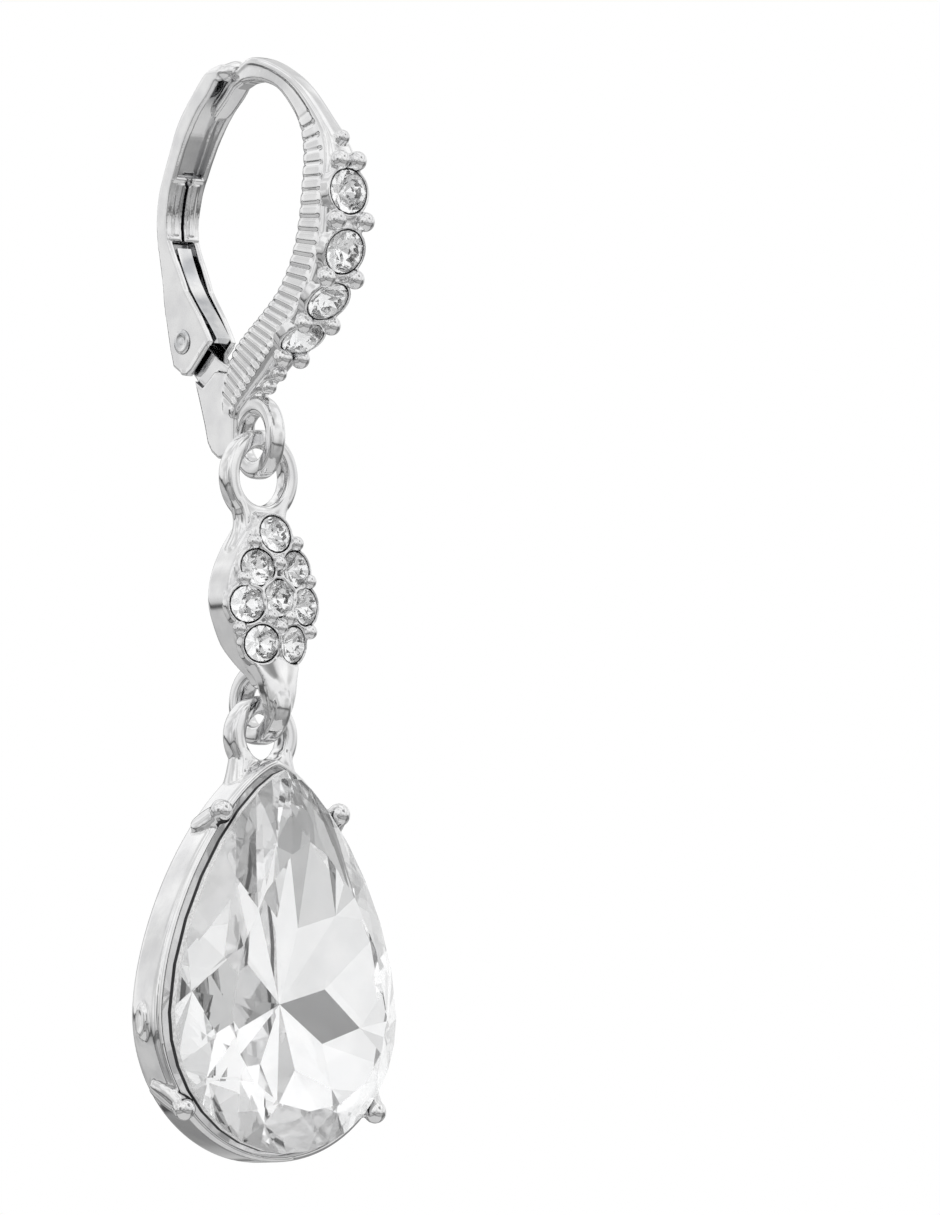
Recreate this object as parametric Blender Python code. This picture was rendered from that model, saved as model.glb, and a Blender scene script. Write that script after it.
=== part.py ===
"""Leverback earring: ribbed stone-set hook with a hinged lever, a stone-set link and a pear crystal drop.

Metres, +Z up, stone faces towards -Y, symmetric about X = 0. The origin is the point on the inside
of the hook's arch where the earring hangs on the ear. Profiles lie in the YZ plane.
"""

import math

import bmesh
import bpy
from mathutils import Vector

MM = 0.001

# Hook: its profile follows these two sizes
HOOK_REACH = 7.1 * MM  # plumb line to the front of the arm
HOOK_DROP = 17.8 * MM  # arch to the foot of the base
ARM_WIDTH = 2.3 * MM
RIB_DEPTH = 0.09 * MM
RIB_COUNT = 24
TAIL_DEPTH = 0.75 * MM
TAIL_WIDTH = 1.0 * MM
BASE_WIDTH = 1.3 * MM

# Lever and hinge
LEVER_TOP_WIDTH = 2.35 * MM
LEVER_FOOT_WIDTH = 1.65 * MM
LEVER_WALL = 0.34 * MM
LEVER_DEPTH = 0.82 * MM  # of the channel in the table below
KNUCKLE_RADIUS = 1.0 * MM
PIN_DIAMETER = 0.7 * MM
PIN_HEAD_DIAMETER = 1.2 * MM
PIN_HEAD_HEIGHT = 0.18 * MM
TONGUE_THICKNESS = 0.36 * MM
TONGUE_CLEARANCE = 0.12 * MM
RUNNING_CLEARANCE = 0.12 * MM

# Round stones
HOOK_STONE_DIAMETER = 2.05 * MM
LINK_STONE_DIAMETER = 1.7 * MM
STONE_CLEARANCE = 0.1 * MM
BEAD_DIAMETER = 0.93 * MM
SMALL_BEAD_DIAMETER = 0.75 * MM
BEAD_STAND = 0.25  # how far a bead's centre stands off the surface, as a share of its diameter
LINK_BEAD_DIAMETER = 0.9 * MM

# Ring on the hook, and the loops of the link and the drop: width, height, hole width, hole height, breadth
RING = (3.2 * MM, 3.95 * MM, 2.0 * MM, 2.15 * MM, 0.95 * MM)
LINK_LOOP = (4.2 * MM, 4.48 * MM, 2.68 * MM, 2.74 * MM, 1.0 * MM)
LINK_FOOT = (3.9 * MM, 3.9 * MM, 2.15 * MM, 2.1 * MM, 1.1 * MM)
DROP_LOOP = (3.88 * MM, 3.9 * MM, 2.2 * MM, 2.2 * MM, 1.1 * MM)
LOOP_PLAY = 0.58 * MM  # free height between one loop and the wire that it hangs on
LOOP_CHAMFER = 0.25  # share of the wire that each edge of its box-like section is cut back
LOOP_STEPS = 24

# Link plate
PLATE_WIDTH = 5.06 * MM
PLATE_HEIGHT = 7.6 * MM
PLATE_TOP_Y = -0.15 * MM  # depth of the top loop's plane
PLATE_FOOT_Y = -0.33 * MM  # depth of the foot loop's plane
PLATE_BACK = 0.52 * MM
PLATE_FRONT = 1.33 * MM
PLATE_DOME = 0.5 * MM
PLATE_LAP = 0.1 * MM  # how far the plate's top runs up into the loop above it

# Pear crystal and its cup
CRYSTAL_LENGTH = 18.0 * MM
CRYSTAL_WIDTH = 13.0 * MM
CROWN_HEIGHT = 2.1 * MM
GIRDLE_HEIGHT = 0.3 * MM
PAVILION_DEPTH = 1.9 * MM
GIRDLE_FRONT = 2.0 * MM
CUP_WALL = 0.45 * MM
CUP_CLEARANCE = 0.12 * MM
CUP_FLOOR = 0.3 * MM
CUP_RIM = 1.7 * MM
TIP_LAP = 0.3 * MM  # height of the crystal's tip above the foot of the drop's loop
PRONG_DIAMETER = 1.1 * MM
BOSS_HEIGHT = 1.7 * MM
BOSS_BREADTH = 0.8 * MM
BOSS_STAND = 0.2 * MM

STONE_SIDES = 12
BEAD_SIDES = 10
SLIVER = 0.002 * MM
SMOOTH_ANGLE = math.radians(35)

# The lever's back and the front edge of its channel, as shares of the hook's reach and drop
LEVER = [
    # y back, z back, y front, z front
    (0.160, 0.054, 0.147, 0.008),
    (0.225, 0.051, 0.184, 0.008),
    (0.292, 0.034, 0.223, -0.003),
    (0.366, 0.009, 0.293, -0.027),
    (0.514, -0.039, 0.435, -0.073),
    (0.662, -0.101, 0.572, -0.130),
    (0.761, -0.163, 0.659, -0.184),
    (0.817, -0.219, 0.708, -0.235),
    (0.859, -0.272, 0.747, -0.283),
    (0.894, -0.343, 0.779, -0.347),
    (0.887, -0.404, 0.772, -0.400),
    (0.860, -0.511, 0.745, -0.507),
    (0.850, -0.579, 0.735, -0.575),
    (0.825, -0.663, 0.711, -0.655),
    (0.780, -0.740, 0.668, -0.730),
]
POCKET_ROWS = 8  # the rows of the outline above that back the open pocket
BRIDGE_ROWS = 11  # the rows down to the end of the closed stretch below the pocket

# Front edge of the lever's fork, from its round foot up to the closed stretch
FORK_EDGE = [
    # y, z
    (0.668, -0.767),
    (0.620, -0.770),
    (0.370, -0.684),
    (0.479, -0.612),
    (0.613, -0.539),
    (0.718, -0.449),
]
TONGUE = [
    # y, z
    (0.783, -0.422),
    (0.745, -0.465),
    (0.690, -0.513),
    (0.590, -0.570),
    (0.478, -0.626),
    (0.375, -0.680),
]
PIVOT = (0.676, -0.677)

# Hook arm from the arch to the base: inner edge, outer edge, and width as a share of the arm's
ARM = [
    # y in, z in, y out, z out, width
    (0.080, -0.002, 0.112, 0.044, 0.50),
    (0.000, 0.000, 0.007, 0.064, 0.52),
    (-0.085, -0.002, -0.106, 0.059, 0.52),
    (-0.183, -0.011, -0.232, 0.042, 0.50),
    (-0.282, -0.026, -0.359, 0.018, 0.47),
    (-0.359, -0.049, -0.465, -0.006, 0.45),
    (-0.437, -0.081, -0.577, -0.039, 0.44),
    (-0.500, -0.112, -0.683, -0.079, 0.44),
    (-0.550, -0.149, -0.789, -0.124, 0.46),
    (-0.585, -0.188, -0.890, -0.171, 0.54),
    (-0.620, -0.230, -0.968, -0.230, 0.72),
    (-0.640, -0.287, -1.000, -0.292, 0.92),
    (-0.635, -0.343, -1.010, -0.348, 1.00),
    (-0.610, -0.399, -1.003, -0.416, 1.00),
    (-0.560, -0.461, -0.965, -0.489, 1.00),
    (-0.478, -0.520, -0.882, -0.559, 0.98),
    (-0.363, -0.574, -0.746, -0.628, 0.94),
    (-0.195, -0.622, -0.555, -0.688, 0.88),
    (-0.015, -0.665, -0.370, -0.740, 0.80),
    (0.135, -0.706, -0.185, -0.794, 0.72),
    (0.215, -0.758, -0.030, -0.836, 0.68),
    (0.272, -0.815, 0.085, -0.871, 0.66),
    (0.282, -0.876, 0.113, -0.893, 0.62),
]
RIBBED_ROWS = (7.3, 21.6)  # the stretch of the arm that carries ribs, counted in rows

# Base of the hook between the lever's fork and the ring: a neck and a wider block below the fork
NECK = [
    # y, z
    (0.366, -0.730),
    (0.200, -0.765),
    (0.200, -0.880),
    (0.470, -0.880),
    (0.535, -0.820),
    (0.600, -0.780),
]
BLOCK = [
    # y, z
    (0.200, -0.775),
    (0.350, -0.765),
    (0.490, -0.805),
    (0.575, -0.785),
    (0.506, -0.860),
    (0.465, -0.907),
    (0.430, -0.955),
    (0.385, -0.980),
    (0.310, -1.000),
    (0.200, -0.996),
    (0.135, -0.970),
    (0.125, -0.870),
]
RING_PLACE = (-0.028, -0.951)

# Stones down the hook, and the beads between them: place along the arm in rows
HOOK_STONES = [11.65, 13.95, 15.75, 17.25]
HOOK_BEAD_PAIRS = [
    # row, half spacing as a share of the bead diameter
    (10.3, 0.49),
    (12.85, 0.89),
    (14.85, 0.90),
    (16.5, 0.86),
    (18.0, 0.54),
]
HOOK_BEADS = [9.4, 18.65, 19.2, 19.75]

# Link plate: height share from the top, half-width share, and dome share
PLATE = [
    # z, width, dome
    (0.000, 0.54, 0.00),
    (0.066, 0.54, 0.25),
    (0.164, 0.70, 0.50),
    (0.290, 0.89, 0.80),
    (0.414, 0.99, 1.00),
    (0.540, 0.99, 1.00),
    (0.664, 0.87, 1.00),
    (0.783, 0.70, 0.90),
    (0.908, 0.52, 0.70),
    (1.000, 0.42, 0.60),
]
# Tail of the plate, which runs down the front of the foot loop: height share below the plate's top
TAIL = [
    # z, width, front as a share of the plate's, back
    (0.760, 0.60, 1.20, 0.60),
    (0.900, 0.50, 1.45, 0.60),
    (1.000, 0.39, 1.62, 0.90),
    (1.090, 0.34, 1.67, 1.05),
    (1.170, 0.28, 1.64, 1.10),
    (1.240, 0.21, 1.50, 1.10),
]
LINK_STONES = [
    # x as a share of the half width, z as a share of the height
    (0.000, 0.085),
    (0.447, 0.300),
    (-0.447, 0.300),
    (0.000, 0.485),
    (0.672, 0.528),
    (-0.672, 0.528),
    (0.364, 0.770),
    (-0.364, 0.770),
]
LINK_BEADS = [
    # x, z
    (0.000, 0.270),
    (0.202, 0.602),
    (-0.202, 0.602),
    (0.000, 0.668),
    (0.743, 0.372),
    (-0.743, 0.372),
    (0.800, 0.680),
    (-0.800, 0.680),
    (0.478, 0.140),
    (-0.478, 0.140),
]

# Pear outline: exponents of its upper half
PEAR_SHOULDER = 1.7
PEAR_POINT = 0.72
PEAR_FOOT_PAD = 0.7  # share of the cup's wall that shows below the crystal's foot
PEAR_STEPS = 24
# Prongs and side bosses: quarter-turn shares up and down from the widest line
PRONGS = [
    # head, foot of its lug on the wall
    (0.58, 0.53),
    (-0.43, -0.32),
]
BOSS_QUARTER = -0.035


def clear_scene():
    """Start from an empty scene."""
    for obj in list(bpy.data.objects):
        bpy.data.objects.remove(obj, do_unlink=True)


def collection(name):
    group = bpy.data.collections.new(name)
    bpy.context.scene.collection.children.link(group)
    return group


def material(name, colour, metallic, roughness):
    found = bpy.data.materials.new(name)
    found.use_nodes = True
    shader = found.node_tree.nodes["Principled BSDF"]
    shader.inputs["Base Color"].default_value = (*colour, 1.0)
    shader.inputs["Metallic"].default_value = metallic
    shader.inputs["Roughness"].default_value = roughness
    return found


def hook_point(place):
    """A profile point given as shares of the hook's reach and drop."""
    return Vector((0.0, place[0] * HOOK_REACH, place[1] * HOOK_DROP))


def smooth_row(rows, at):
    """The row at a fractional index, on a smooth curve through the rows."""
    low = min(max(int(math.floor(at)), 0), len(rows) - 2)
    t = at - low
    before, start, end, after = (rows[min(max(low + k, 0), len(rows) - 1)] for k in (-1, 0, 1, 2))
    found = []
    for a, b, c, d in zip(before, start, end, after):
        found.append(
            0.5 * (2 * b + (c - a) * t + (2 * a - 5 * b + 4 * c - d) * t * t + (3 * b - a - 3 * c + d) * t ** 3)
        )
    return found


def face_outward(bm):
    """Turn every face of a closed mesh to look outward."""
    bmesh.ops.recalc_face_normals(bm, faces=bm.faces)
    if bm.calc_volume(signed=True) < 0:
        bmesh.ops.reverse_faces(bm, faces=bm.faces)


def mesh_object(name, group, build):
    """A new object whose mesh is filled by build(bm)."""
    bm = bmesh.new()
    build(bm)
    face_outward(bm)
    mesh = bpy.data.meshes.new(name)
    bm.to_mesh(mesh)
    bm.free()
    obj = bpy.data.objects.new(name, mesh)
    group.objects.link(obj)
    return obj


def loft(name, group, rings, closed=False):
    """A solid through rings of the same number of points, capped at its ends or closed on itself."""

    def build(bm):
        rows = [[bm.verts.new(point) for point in ring] for ring in rings]
        count = len(rows[0])
        following = rows[1:] + rows[:1] if closed else rows[1:]
        for lower, upper in zip(rows, following):
            for i in range(count):
                j = (i + 1) % count
                bm.faces.new((lower[i], lower[j], upper[j], upper[i]))
        if not closed:
            bm.faces.new(rows[0][::-1])
            bm.faces.new(rows[-1])
        bm.normal_update()
        bmesh.ops.triangulate(bm, faces=bm.faces)

    return mesh_object(name, group, build)


def bake(obj):
    """Apply the object's modifiers."""
    bpy.context.view_layer.update()
    graph = bpy.context.evaluated_depsgraph_get()
    mesh = bpy.data.meshes.new_from_object(obj.evaluated_get(graph))
    obj.modifiers.clear()
    old = obj.data
    obj.data = mesh
    bpy.data.meshes.remove(old)
    return obj


def drop_slivers(obj):
    """Merge the points that a boolean leaves closer than SLIVER."""
    bm = bmesh.new()
    bm.from_mesh(obj.data)
    bmesh.ops.triangulate(bm, faces=bm.faces)
    bmesh.ops.dissolve_degenerate(bm, dist=SLIVER, edges=bm.edges)
    bm.to_mesh(obj.data)
    bm.free()


def combine(obj, tools, operation):
    """Union with the tools or difference by them, and remove the tools."""
    for tool in tools:
        modifier = obj.modifiers.new(tool.name, "BOOLEAN")
        modifier.operation = operation
        modifier.solver = "EXACT"
        modifier.object = tool
        bake(obj)
        bpy.data.objects.remove(tool, do_unlink=True)
        drop_slivers(obj)
    return obj


def outline_solid(name, group, points, low, high):
    """A flat outline in the YZ plane, extruded along X from low to high."""
    return loft(name, group, [[point + Vector((x, 0, 0)) for point in points] for x in (low, high)])


def oval_loop(name, group, centre, across, sizes):
    """An oval loop with a box-like section, in the plane of across and Z."""
    width, height, hole_width, hole_height, breadth = sizes
    normal = across.cross(Vector((0, 0, 1)))
    wire = 0.5 * (width - hole_width)
    low, high = LOOP_CHAMFER, 1 - LOOP_CHAMFER
    cut = 1 - 2 * LOOP_CHAMFER * wire / breadth
    section = [(0, -cut), (0, cut), (low, 1), (high, 1), (1, cut), (1, -cut), (high, -1), (low, -1)]
    rings = []
    for index in range(LOOP_STEPS):
        turn = 2 * math.pi * index / LOOP_STEPS
        hole = Vector((hole_width * math.cos(turn), hole_height * math.sin(turn))) * 0.5
        edge = Vector((width * math.cos(turn), height * math.sin(turn))) * 0.5
        ring = []
        for share, side in section:
            flat = hole.lerp(edge, share)
            ring.append(centre + across * flat.x + Vector((0, 0, flat.y)) + normal * (side * 0.5 * breadth))
        rings.append(ring)
    return loft(name, group, rings, closed=True)


def turned(name, group, centre, axis, profile, sides):
    """A solid turned round an axis; the profile's rows are radius and height, bottom to top."""
    turn = Vector((0, 0, 1)).rotation_difference(axis)

    def ring(radius, height):
        angles = [2 * math.pi * i / sides for i in range(sides)]
        return [centre + turn @ Vector((radius * math.cos(a), radius * math.sin(a), height)) for a in angles]

    return loft(name, group, [ring(radius, height) for radius, height in profile])


def bead(name, group, centre, axis, diameter):
    """A ball of BEAD_SIDES sides whose pole looks along the axis."""
    radius = 0.5 * diameter
    turn = Vector((0, 0, 1)).rotation_difference(axis).to_matrix().to_4x4()
    turn.translation = centre

    def build(bm):
        bmesh.ops.create_uvsphere(
            bm, u_segments=BEAD_SIDES, v_segments=BEAD_SIDES // 2 + 1, radius=radius, matrix=turn
        )

    return mesh_object(name, group, build)


def stone(name, group, centre, axis, diameter):
    """A round brilliant with a table, a twelve-sided crown and a pavilion; centre is on its girdle."""
    radius = 0.5 * diameter
    profile = [
        (0.06 * radius, -0.80 * radius),
        (radius, -0.04 * radius),
        (radius, 0.04 * radius),
        (0.60 * radius, 0.34 * radius),
    ]
    return turned(name, group, centre, axis, profile, STONE_SIDES)


def stone_seat(group, centre, axis, diameter):
    """The cutter that opens a seat for a round stone, with its clearance."""
    radius = 0.5 * diameter + STONE_CLEARANCE
    depth = 0.40 * diameter + STONE_CLEARANCE
    profile = [
        (0.22 * radius, -depth - STONE_CLEARANCE),
        (radius, -0.12 * radius),
        (radius, 1.2 * radius),
    ]
    return turned("seat", group, centre, axis, profile, STONE_SIDES)


def pear(pad, quarter):
    """A point of the padded pear outline on its +X side: quarter runs from -1 at the foot to 1 at the point."""
    side = 0.5 * CRYSTAL_WIDTH + pad
    foot = 0.5 * CRYSTAL_WIDTH + pad * PEAR_FOOT_PAD
    point = CRYSTAL_LENGTH - 0.5 * CRYSTAL_WIDTH + pad
    angle = 0.5 * math.pi * quarter
    if quarter <= 0:
        return side * math.cos(angle), foot * math.sin(angle)
    rise = math.sin(angle)
    return side * max(0.0, 1 - rise ** PEAR_SHOULDER) ** PEAR_POINT, point * rise


def pear_ring(pad, y, offset=0.0, scale=1.0):
    """A closed ring of the pear outline at depth y; scale shrinks it about its wide centre."""
    ring = []
    for index in range(2 * PEAR_STEPS):
        quarter = (index + offset) / PEAR_STEPS * 2 - 1
        side = 1.0
        if quarter > 1:
            quarter, side = 2 - quarter, -1.0
        x, z = pear(pad, quarter)
        ring.append(Vector((side * x * scale, y, PEAR_CENTRE_Z + z * scale)))
    return ring


def wire_height(sizes):
    """Thickness of a loop's wire at its top and foot."""
    return 0.5 * (sizes[1] - sizes[3])


# Heights that follow from the loops: each pivot is the middle of the wire that bears the next piece
RING_CENTRE = hook_point(RING_PLACE)
LINK_PIVOT_Z = RING_CENTRE.z - 0.5 * (RING[1] - wire_height(RING))
LINK_LOOP_TOP = LINK_PIVOT_Z + 0.5 * wire_height(RING) + LOOP_PLAY + wire_height(LINK_LOOP)
LINK_LOOP_Z = LINK_LOOP_TOP - 0.5 * LINK_LOOP[1]
PLATE_TOP = LINK_LOOP_Z - 0.5 * LINK_LOOP[1] + PLATE_LAP
LINK_FOOT_Z = PLATE_TOP - PLATE_HEIGHT + 0.5 * PLATE_LAP + wire_height(LINK_FOOT) - 0.5 * LINK_FOOT[1]
DROP_PIVOT_Z = LINK_FOOT_Z - 0.5 * (LINK_FOOT[1] - wire_height(LINK_FOOT))
DROP_LOOP_TOP = DROP_PIVOT_Z + 0.5 * wire_height(LINK_FOOT) + LOOP_PLAY + wire_height(DROP_LOOP)
DROP_LOOP_Z = DROP_LOOP_TOP - 0.5 * DROP_LOOP[1]
PEAR_TIP_Z = DROP_LOOP_Z - 0.5 * DROP_LOOP[1] + TIP_LAP
PEAR_CENTRE_Z = PEAR_TIP_Z - CRYSTAL_LENGTH + 0.5 * CRYSTAL_WIDTH


def arm_section(row):
    """Inner point, outer point and width of the hook arm at a fractional row."""
    y_in, z_in, y_out, z_out, width = smooth_row(ARM, row)
    return hook_point((y_in, z_in)), hook_point((y_out, z_out)), width * ARM_WIDTH


def rib_relief(row):
    """How far the side face is cut back at a row: ribs stand between grooves."""
    first, last = RIBBED_ROWS
    if not first < row < last:
        return 0.0
    return RIB_DEPTH * 0.5 * (1 - math.cos(2 * math.pi * RIB_COUNT * (row - first) / (last - first)))


def section_ring(inner, outer, width, relief):
    """Twelve points round the arm: the inner two thirds of each side are cut back by the relief."""
    half = 0.5 * width
    depth = outer - inner
    side = half - relief
    shape = [
        (0.00, 0.70 * side),
        (0.06, 0.93 * side),
        (0.18, side),
        (0.62, side),
        (0.78, half),
        (0.95, 0.92 * half),
        (1.00, 0.70 * half),
    ]
    right = [inner + depth * share + Vector((x, 0, 0)) for share, x in shape]
    left = [inner + depth * share - Vector((x, 0, 0)) for share, x in reversed(shape)]
    return right + left


def lever_point(row, inset):
    """A point at a fractional row of the lever, moved from its back towards its front edge by the inset."""
    y_back, z_back, y_front, z_front = smooth_row(LEVER, row)
    return hook_point((y_back, z_back)).lerp(hook_point((y_front, z_front)), inset / LEVER_DEPTH)


def build_arm(group):
    """The arch and ribbed arm, with the tail that rests in the lever's pocket."""
    rings = []
    tail_inset = LEVER_WALL + RUNNING_CLEARANCE
    for row in (4.1, 3.2, 2.2, 1.3):
        outer = lever_point(row, tail_inset)
        inner = lever_point(row, tail_inset + TAIL_DEPTH)
        rings.append(section_ring(inner, outer, TAIL_WIDTH, 0.0))
    first, last = RIBBED_ROWS
    rib_step = (last - first) / RIB_COUNT / 2
    rows = [0.35 * k for k in range(int(first / 0.35))]
    rows += [first + rib_step * k for k in range(2 * RIB_COUNT + 1)]
    rows += [22.0]
    for row in rows:
        rings.append(section_ring(*arm_section(row), rib_relief(row)))
    return loft("ear_hook", group, rings)


def arm_normal(row):
    """The outward direction of the arm's front face at a row."""
    along = arm_section(row + 0.1)[1] - arm_section(row - 0.1)[1]
    return Vector((0, along.z, -along.y)).normalized() * (1 if along.z < 0 else -1)


def build_base(group):
    """The base: a knuckle round the hinge on a neck that fits the fork, and the wider block below."""
    pivot = hook_point(PIVOT)
    neck = [pivot + KNUCKLE_RADIUS * Vector((0, math.cos(a), math.sin(a)))
            for a in [math.radians(-50 + 18 * k) for k in range(14)]]
    neck += [hook_point(place) for place in NECK]
    half = 0.5 * (LEVER_FOOT_WIDTH - 2 * LEVER_WALL - 2 * RUNNING_CLEARANCE)
    block = [hook_point(place) for place in BLOCK]
    return [outline_solid("neck", group, neck, -half, half),
            outline_solid("block", group, block, -0.5 * BASE_WIDTH, 0.5 * BASE_WIDTH)]


def bead_on(group, place, normal, diameter, side=0.0):
    """A bead that stands on a surface point, moved along X by side."""
    centre = place + normal * BEAD_STAND * diameter + Vector((side, 0, 0))
    return bead("bead", group, centre, normal, diameter)


def build_hook(group, tools):
    """The hook's casting: arm, base, ring, stone seats, beads and hinge hole."""
    hook = build_arm(group)
    ring = oval_loop("ring", tools, RING_CENTRE, Vector((0, 1, 0)), RING)
    combine(hook, build_base(tools) + [ring], "UNION")
    beads = []
    for row, spread in HOOK_BEAD_PAIRS:
        for side in (-spread, spread):
            beads.append(bead_on(tools, arm_section(row)[1], arm_normal(row), BEAD_DIAMETER,
                                 side * BEAD_DIAMETER))
    for row in HOOK_BEADS:
        beads.append(bead_on(tools, arm_section(row)[1], arm_normal(row), SMALL_BEAD_DIAMETER))
    combine(hook, beads, "UNION")
    seats = [stone_seat(tools, arm_section(row)[1], arm_normal(row), HOOK_STONE_DIAMETER)
             for row in HOOK_STONES]
    combine(hook, seats + [hinge_hole(tools)], "DIFFERENCE")
    return hook


def hinge_hole(tools):
    """The cutter for the hinge pin's hole, through the fork and the knuckle."""
    radius = 0.5 * PIN_DIAMETER + RUNNING_CLEARANCE
    half = LEVER_TOP_WIDTH
    return turned("hole", tools, hook_point(PIVOT), Vector((1, 0, 0)), [(radius, -half), (radius, half)],
                  STONE_SIDES)


def build_pin(group):
    """The rivet with its two peened heads."""
    inner = 0.5 * LEVER_FOOT_WIDTH + RUNNING_CLEARANCE
    outer = inner + PIN_HEAD_HEIGHT
    shank, head = 0.5 * PIN_DIAMETER, 0.5 * PIN_HEAD_DIAMETER
    profile = [(0.6 * head, -outer), (head, -inner - 0.4 * PIN_HEAD_HEIGHT), (head, -inner), (shank, -inner)]
    profile += [(radius, -height) for radius, height in reversed(profile)]
    return turned("hinge_pin", group, hook_point(PIVOT), Vector((1, 0, 0)), profile, STONE_SIDES)


def lever_taper(obj):
    """Narrow the lever from its top to its foot."""
    top, foot = lever_point(0, 0.0).z, hook_point(PIVOT).z
    for vert in obj.data.vertices:
        share = (top - vert.co.z) / (top - foot)
        width = LEVER_TOP_WIDTH + (LEVER_FOOT_WIDTH - LEVER_TOP_WIDTH) * share
        sign = 1 if vert.co.x > 0 else -1
        vert.co.x += sign * 0.5 * (width - LEVER_TOP_WIDTH)
    return obj


def lever_strip(first, last, inset, front, steps=3):
    """A strip of the lever's profile between two rows of its back, from inset to front deep."""
    rows = [first + k / steps for k in range(int((last - first) * steps) + 1)]
    back = [lever_point(row, inset) for row in rows]
    return back + [lever_point(row, front) for row in reversed(rows)]


def build_lever(group, tools):
    """The lever: a channel with an open pocket, a closed stretch and a fork round the knuckle."""
    last = len(LEVER) - 1
    bridge = BRIDGE_ROWS - 1
    outline = [lever_point(k / 3, 0.0) for k in range(last * 3 + 1)]
    outline += [hook_point(place) for place in FORK_EDGE]
    outline += [lever_point(k / 3, LEVER_DEPTH) for k in range(bridge * 3, 0, -1)]
    half = 0.5 * LEVER_TOP_WIDTH
    lever = lever_taper(outline_solid("lever", group, outline, -half, half))
    inner = half - LEVER_WALL
    pocket = lever_strip(0.0, POCKET_ROWS - 1, LEVER_WALL, 1.4 * LEVER_DEPTH)
    beyond = Vector((0, -2 * LEVER_DEPTH, 0))
    pocket = [pocket[0] + beyond] + pocket + [pocket[-1] + beyond]
    fork = lever_strip(bridge, last - 1.6, LEVER_WALL, 5 * LEVER_DEPTH)
    foot = [lever_point(last - 1.7, -LEVER_DEPTH), hook_point((1.0, -0.95)), hook_point((0.2, -0.95)),
            lever_point(last - 1.7, 5 * LEVER_DEPTH)]
    cutters = [
        lever_taper(outline_solid(name, tools, points, -inner, inner))
        for name, points in (("pocket", pocket), ("fork", fork), ("foot", foot))
    ]
    combine(lever, cutters + [hinge_hole(tools)], "DIFFERENCE")
    return lever


def build_tongue(group):
    """The flat spring in the fork, held under the closed stretch."""
    half = 0.5 * LEVER_FOOT_WIDTH - LEVER_WALL - TONGUE_CLEARANCE
    points = [hook_point(place) for place in TONGUE]
    rings = []
    for index, point in enumerate(points):
        ahead = points[min(index + 1, len(points) - 1)]
        behind = points[max(index - 1, 0)]
        along = (ahead - behind).normalized()
        across = Vector((0, along.z, -along.y)) * 0.5 * TONGUE_THICKNESS
        rings.append([
            point + across + Vector((half, 0, 0)),
            point - across + Vector((half, 0, 0)),
            point - across - Vector((half, 0, 0)),
            point + across - Vector((half, 0, 0)),
        ])
    return loft("spring_tongue", group, rings)


def plate_row(share):
    """Half width and dome height of the link plate at a height share."""
    for (z0, w0, d0), (z1, w1, d1) in zip(PLATE, PLATE[1:]):
        if z0 <= share <= z1:
            t = (share - z0) / (z1 - z0)
            return 0.5 * PLATE_WIDTH * (w0 + (w1 - w0) * t), PLATE_DOME * (d0 + (d1 - d0) * t)
    return 0.5 * PLATE_WIDTH * PLATE[-1][1], 0.0


def plate_face(x_share, z_share):
    """The point on the plate's domed front; x as a share of the full half width."""
    half, dome = plate_row(z_share)
    x = x_share * 0.5 * PLATE_WIDTH
    across = min(abs(x) / half, 1.0)
    return Vector((x, -PLATE_FRONT - dome * (1 - across ** 2), PLATE_TOP - z_share * PLATE_HEIGHT))


def plate_normal(x_share, z_share):
    step = 0.04
    side = plate_face(x_share + step, z_share) - plate_face(x_share - step, z_share)
    down = plate_face(x_share, z_share + step) - plate_face(x_share, z_share - step)
    normal = side.cross(down).normalized()
    return normal if normal.y < 0 else -normal


def build_link(group, tools):
    """The stone-set plate with its two loops."""
    rings = []
    for z_share, _, _ in PLATE:
        half, dome = plate_row(z_share)
        z = PLATE_TOP - z_share * PLATE_HEIGHT
        ring = [Vector((half, 0.8 * PLATE_BACK, z)), Vector((0.92 * half, PLATE_BACK, z)),
                Vector((-0.92 * half, PLATE_BACK, z)), Vector((-half, 0.8 * PLATE_BACK, z))]
        for share in (-1.0, -0.8, -0.4, 0.0, 0.4, 0.8, 1.0):
            ring.append(Vector((share * half, -PLATE_FRONT - dome * (1 - share ** 2), z)))
        rings.append(ring)
    link = loft("link", group, rings)
    tail = []
    for z_share, width, front, back in TAIL:
        half, z = 0.5 * PLATE_WIDTH * width, PLATE_TOP - z_share * PLATE_HEIGHT
        edge, ridge = -PLATE_FRONT * (front - 0.15), -PLATE_FRONT * front
        tail.append([Vector((-half, -PLATE_FRONT * back, z)), Vector((-half, edge, z)), Vector((0, ridge, z)),
                     Vector((half, edge, z)), Vector((half, -PLATE_FRONT * back, z))])
    loops = [
        oval_loop("top_loop", tools, Vector((0, PLATE_TOP_Y, LINK_LOOP_Z)), Vector((1, 0, 0)), LINK_LOOP),
        oval_loop("foot_loop", tools, Vector((0, PLATE_FOOT_Y, LINK_FOOT_Z)), Vector((0, 1, 0)), LINK_FOOT),
        loft("tail", tools, tail),
    ]
    combine(link, loops, "UNION")
    beads = [bead_on(tools, plate_face(x, z), plate_normal(x, z), LINK_BEAD_DIAMETER) for x, z in LINK_BEADS]
    combine(link, beads, "UNION")
    seats = [stone_seat(tools, plate_face(x, z), plate_normal(x, z), LINK_STONE_DIAMETER)
             for x, z in LINK_STONES]
    combine(link, seats, "DIFFERENCE")
    return link


def wall_point(quarter, pad, y, side):
    """A point beside the pear outline at a quarter-turn share, pad away from the girdle, at depth y."""
    x, z = pear(0.0, quarter)
    x2, z2 = pear(0.0, quarter + 0.01)
    out = Vector((z2 - z, 0, x - x2)).normalized() * pad
    return Vector((side * (x + out.x), y, PEAR_CENTRE_Z + z + out.z))


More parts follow.
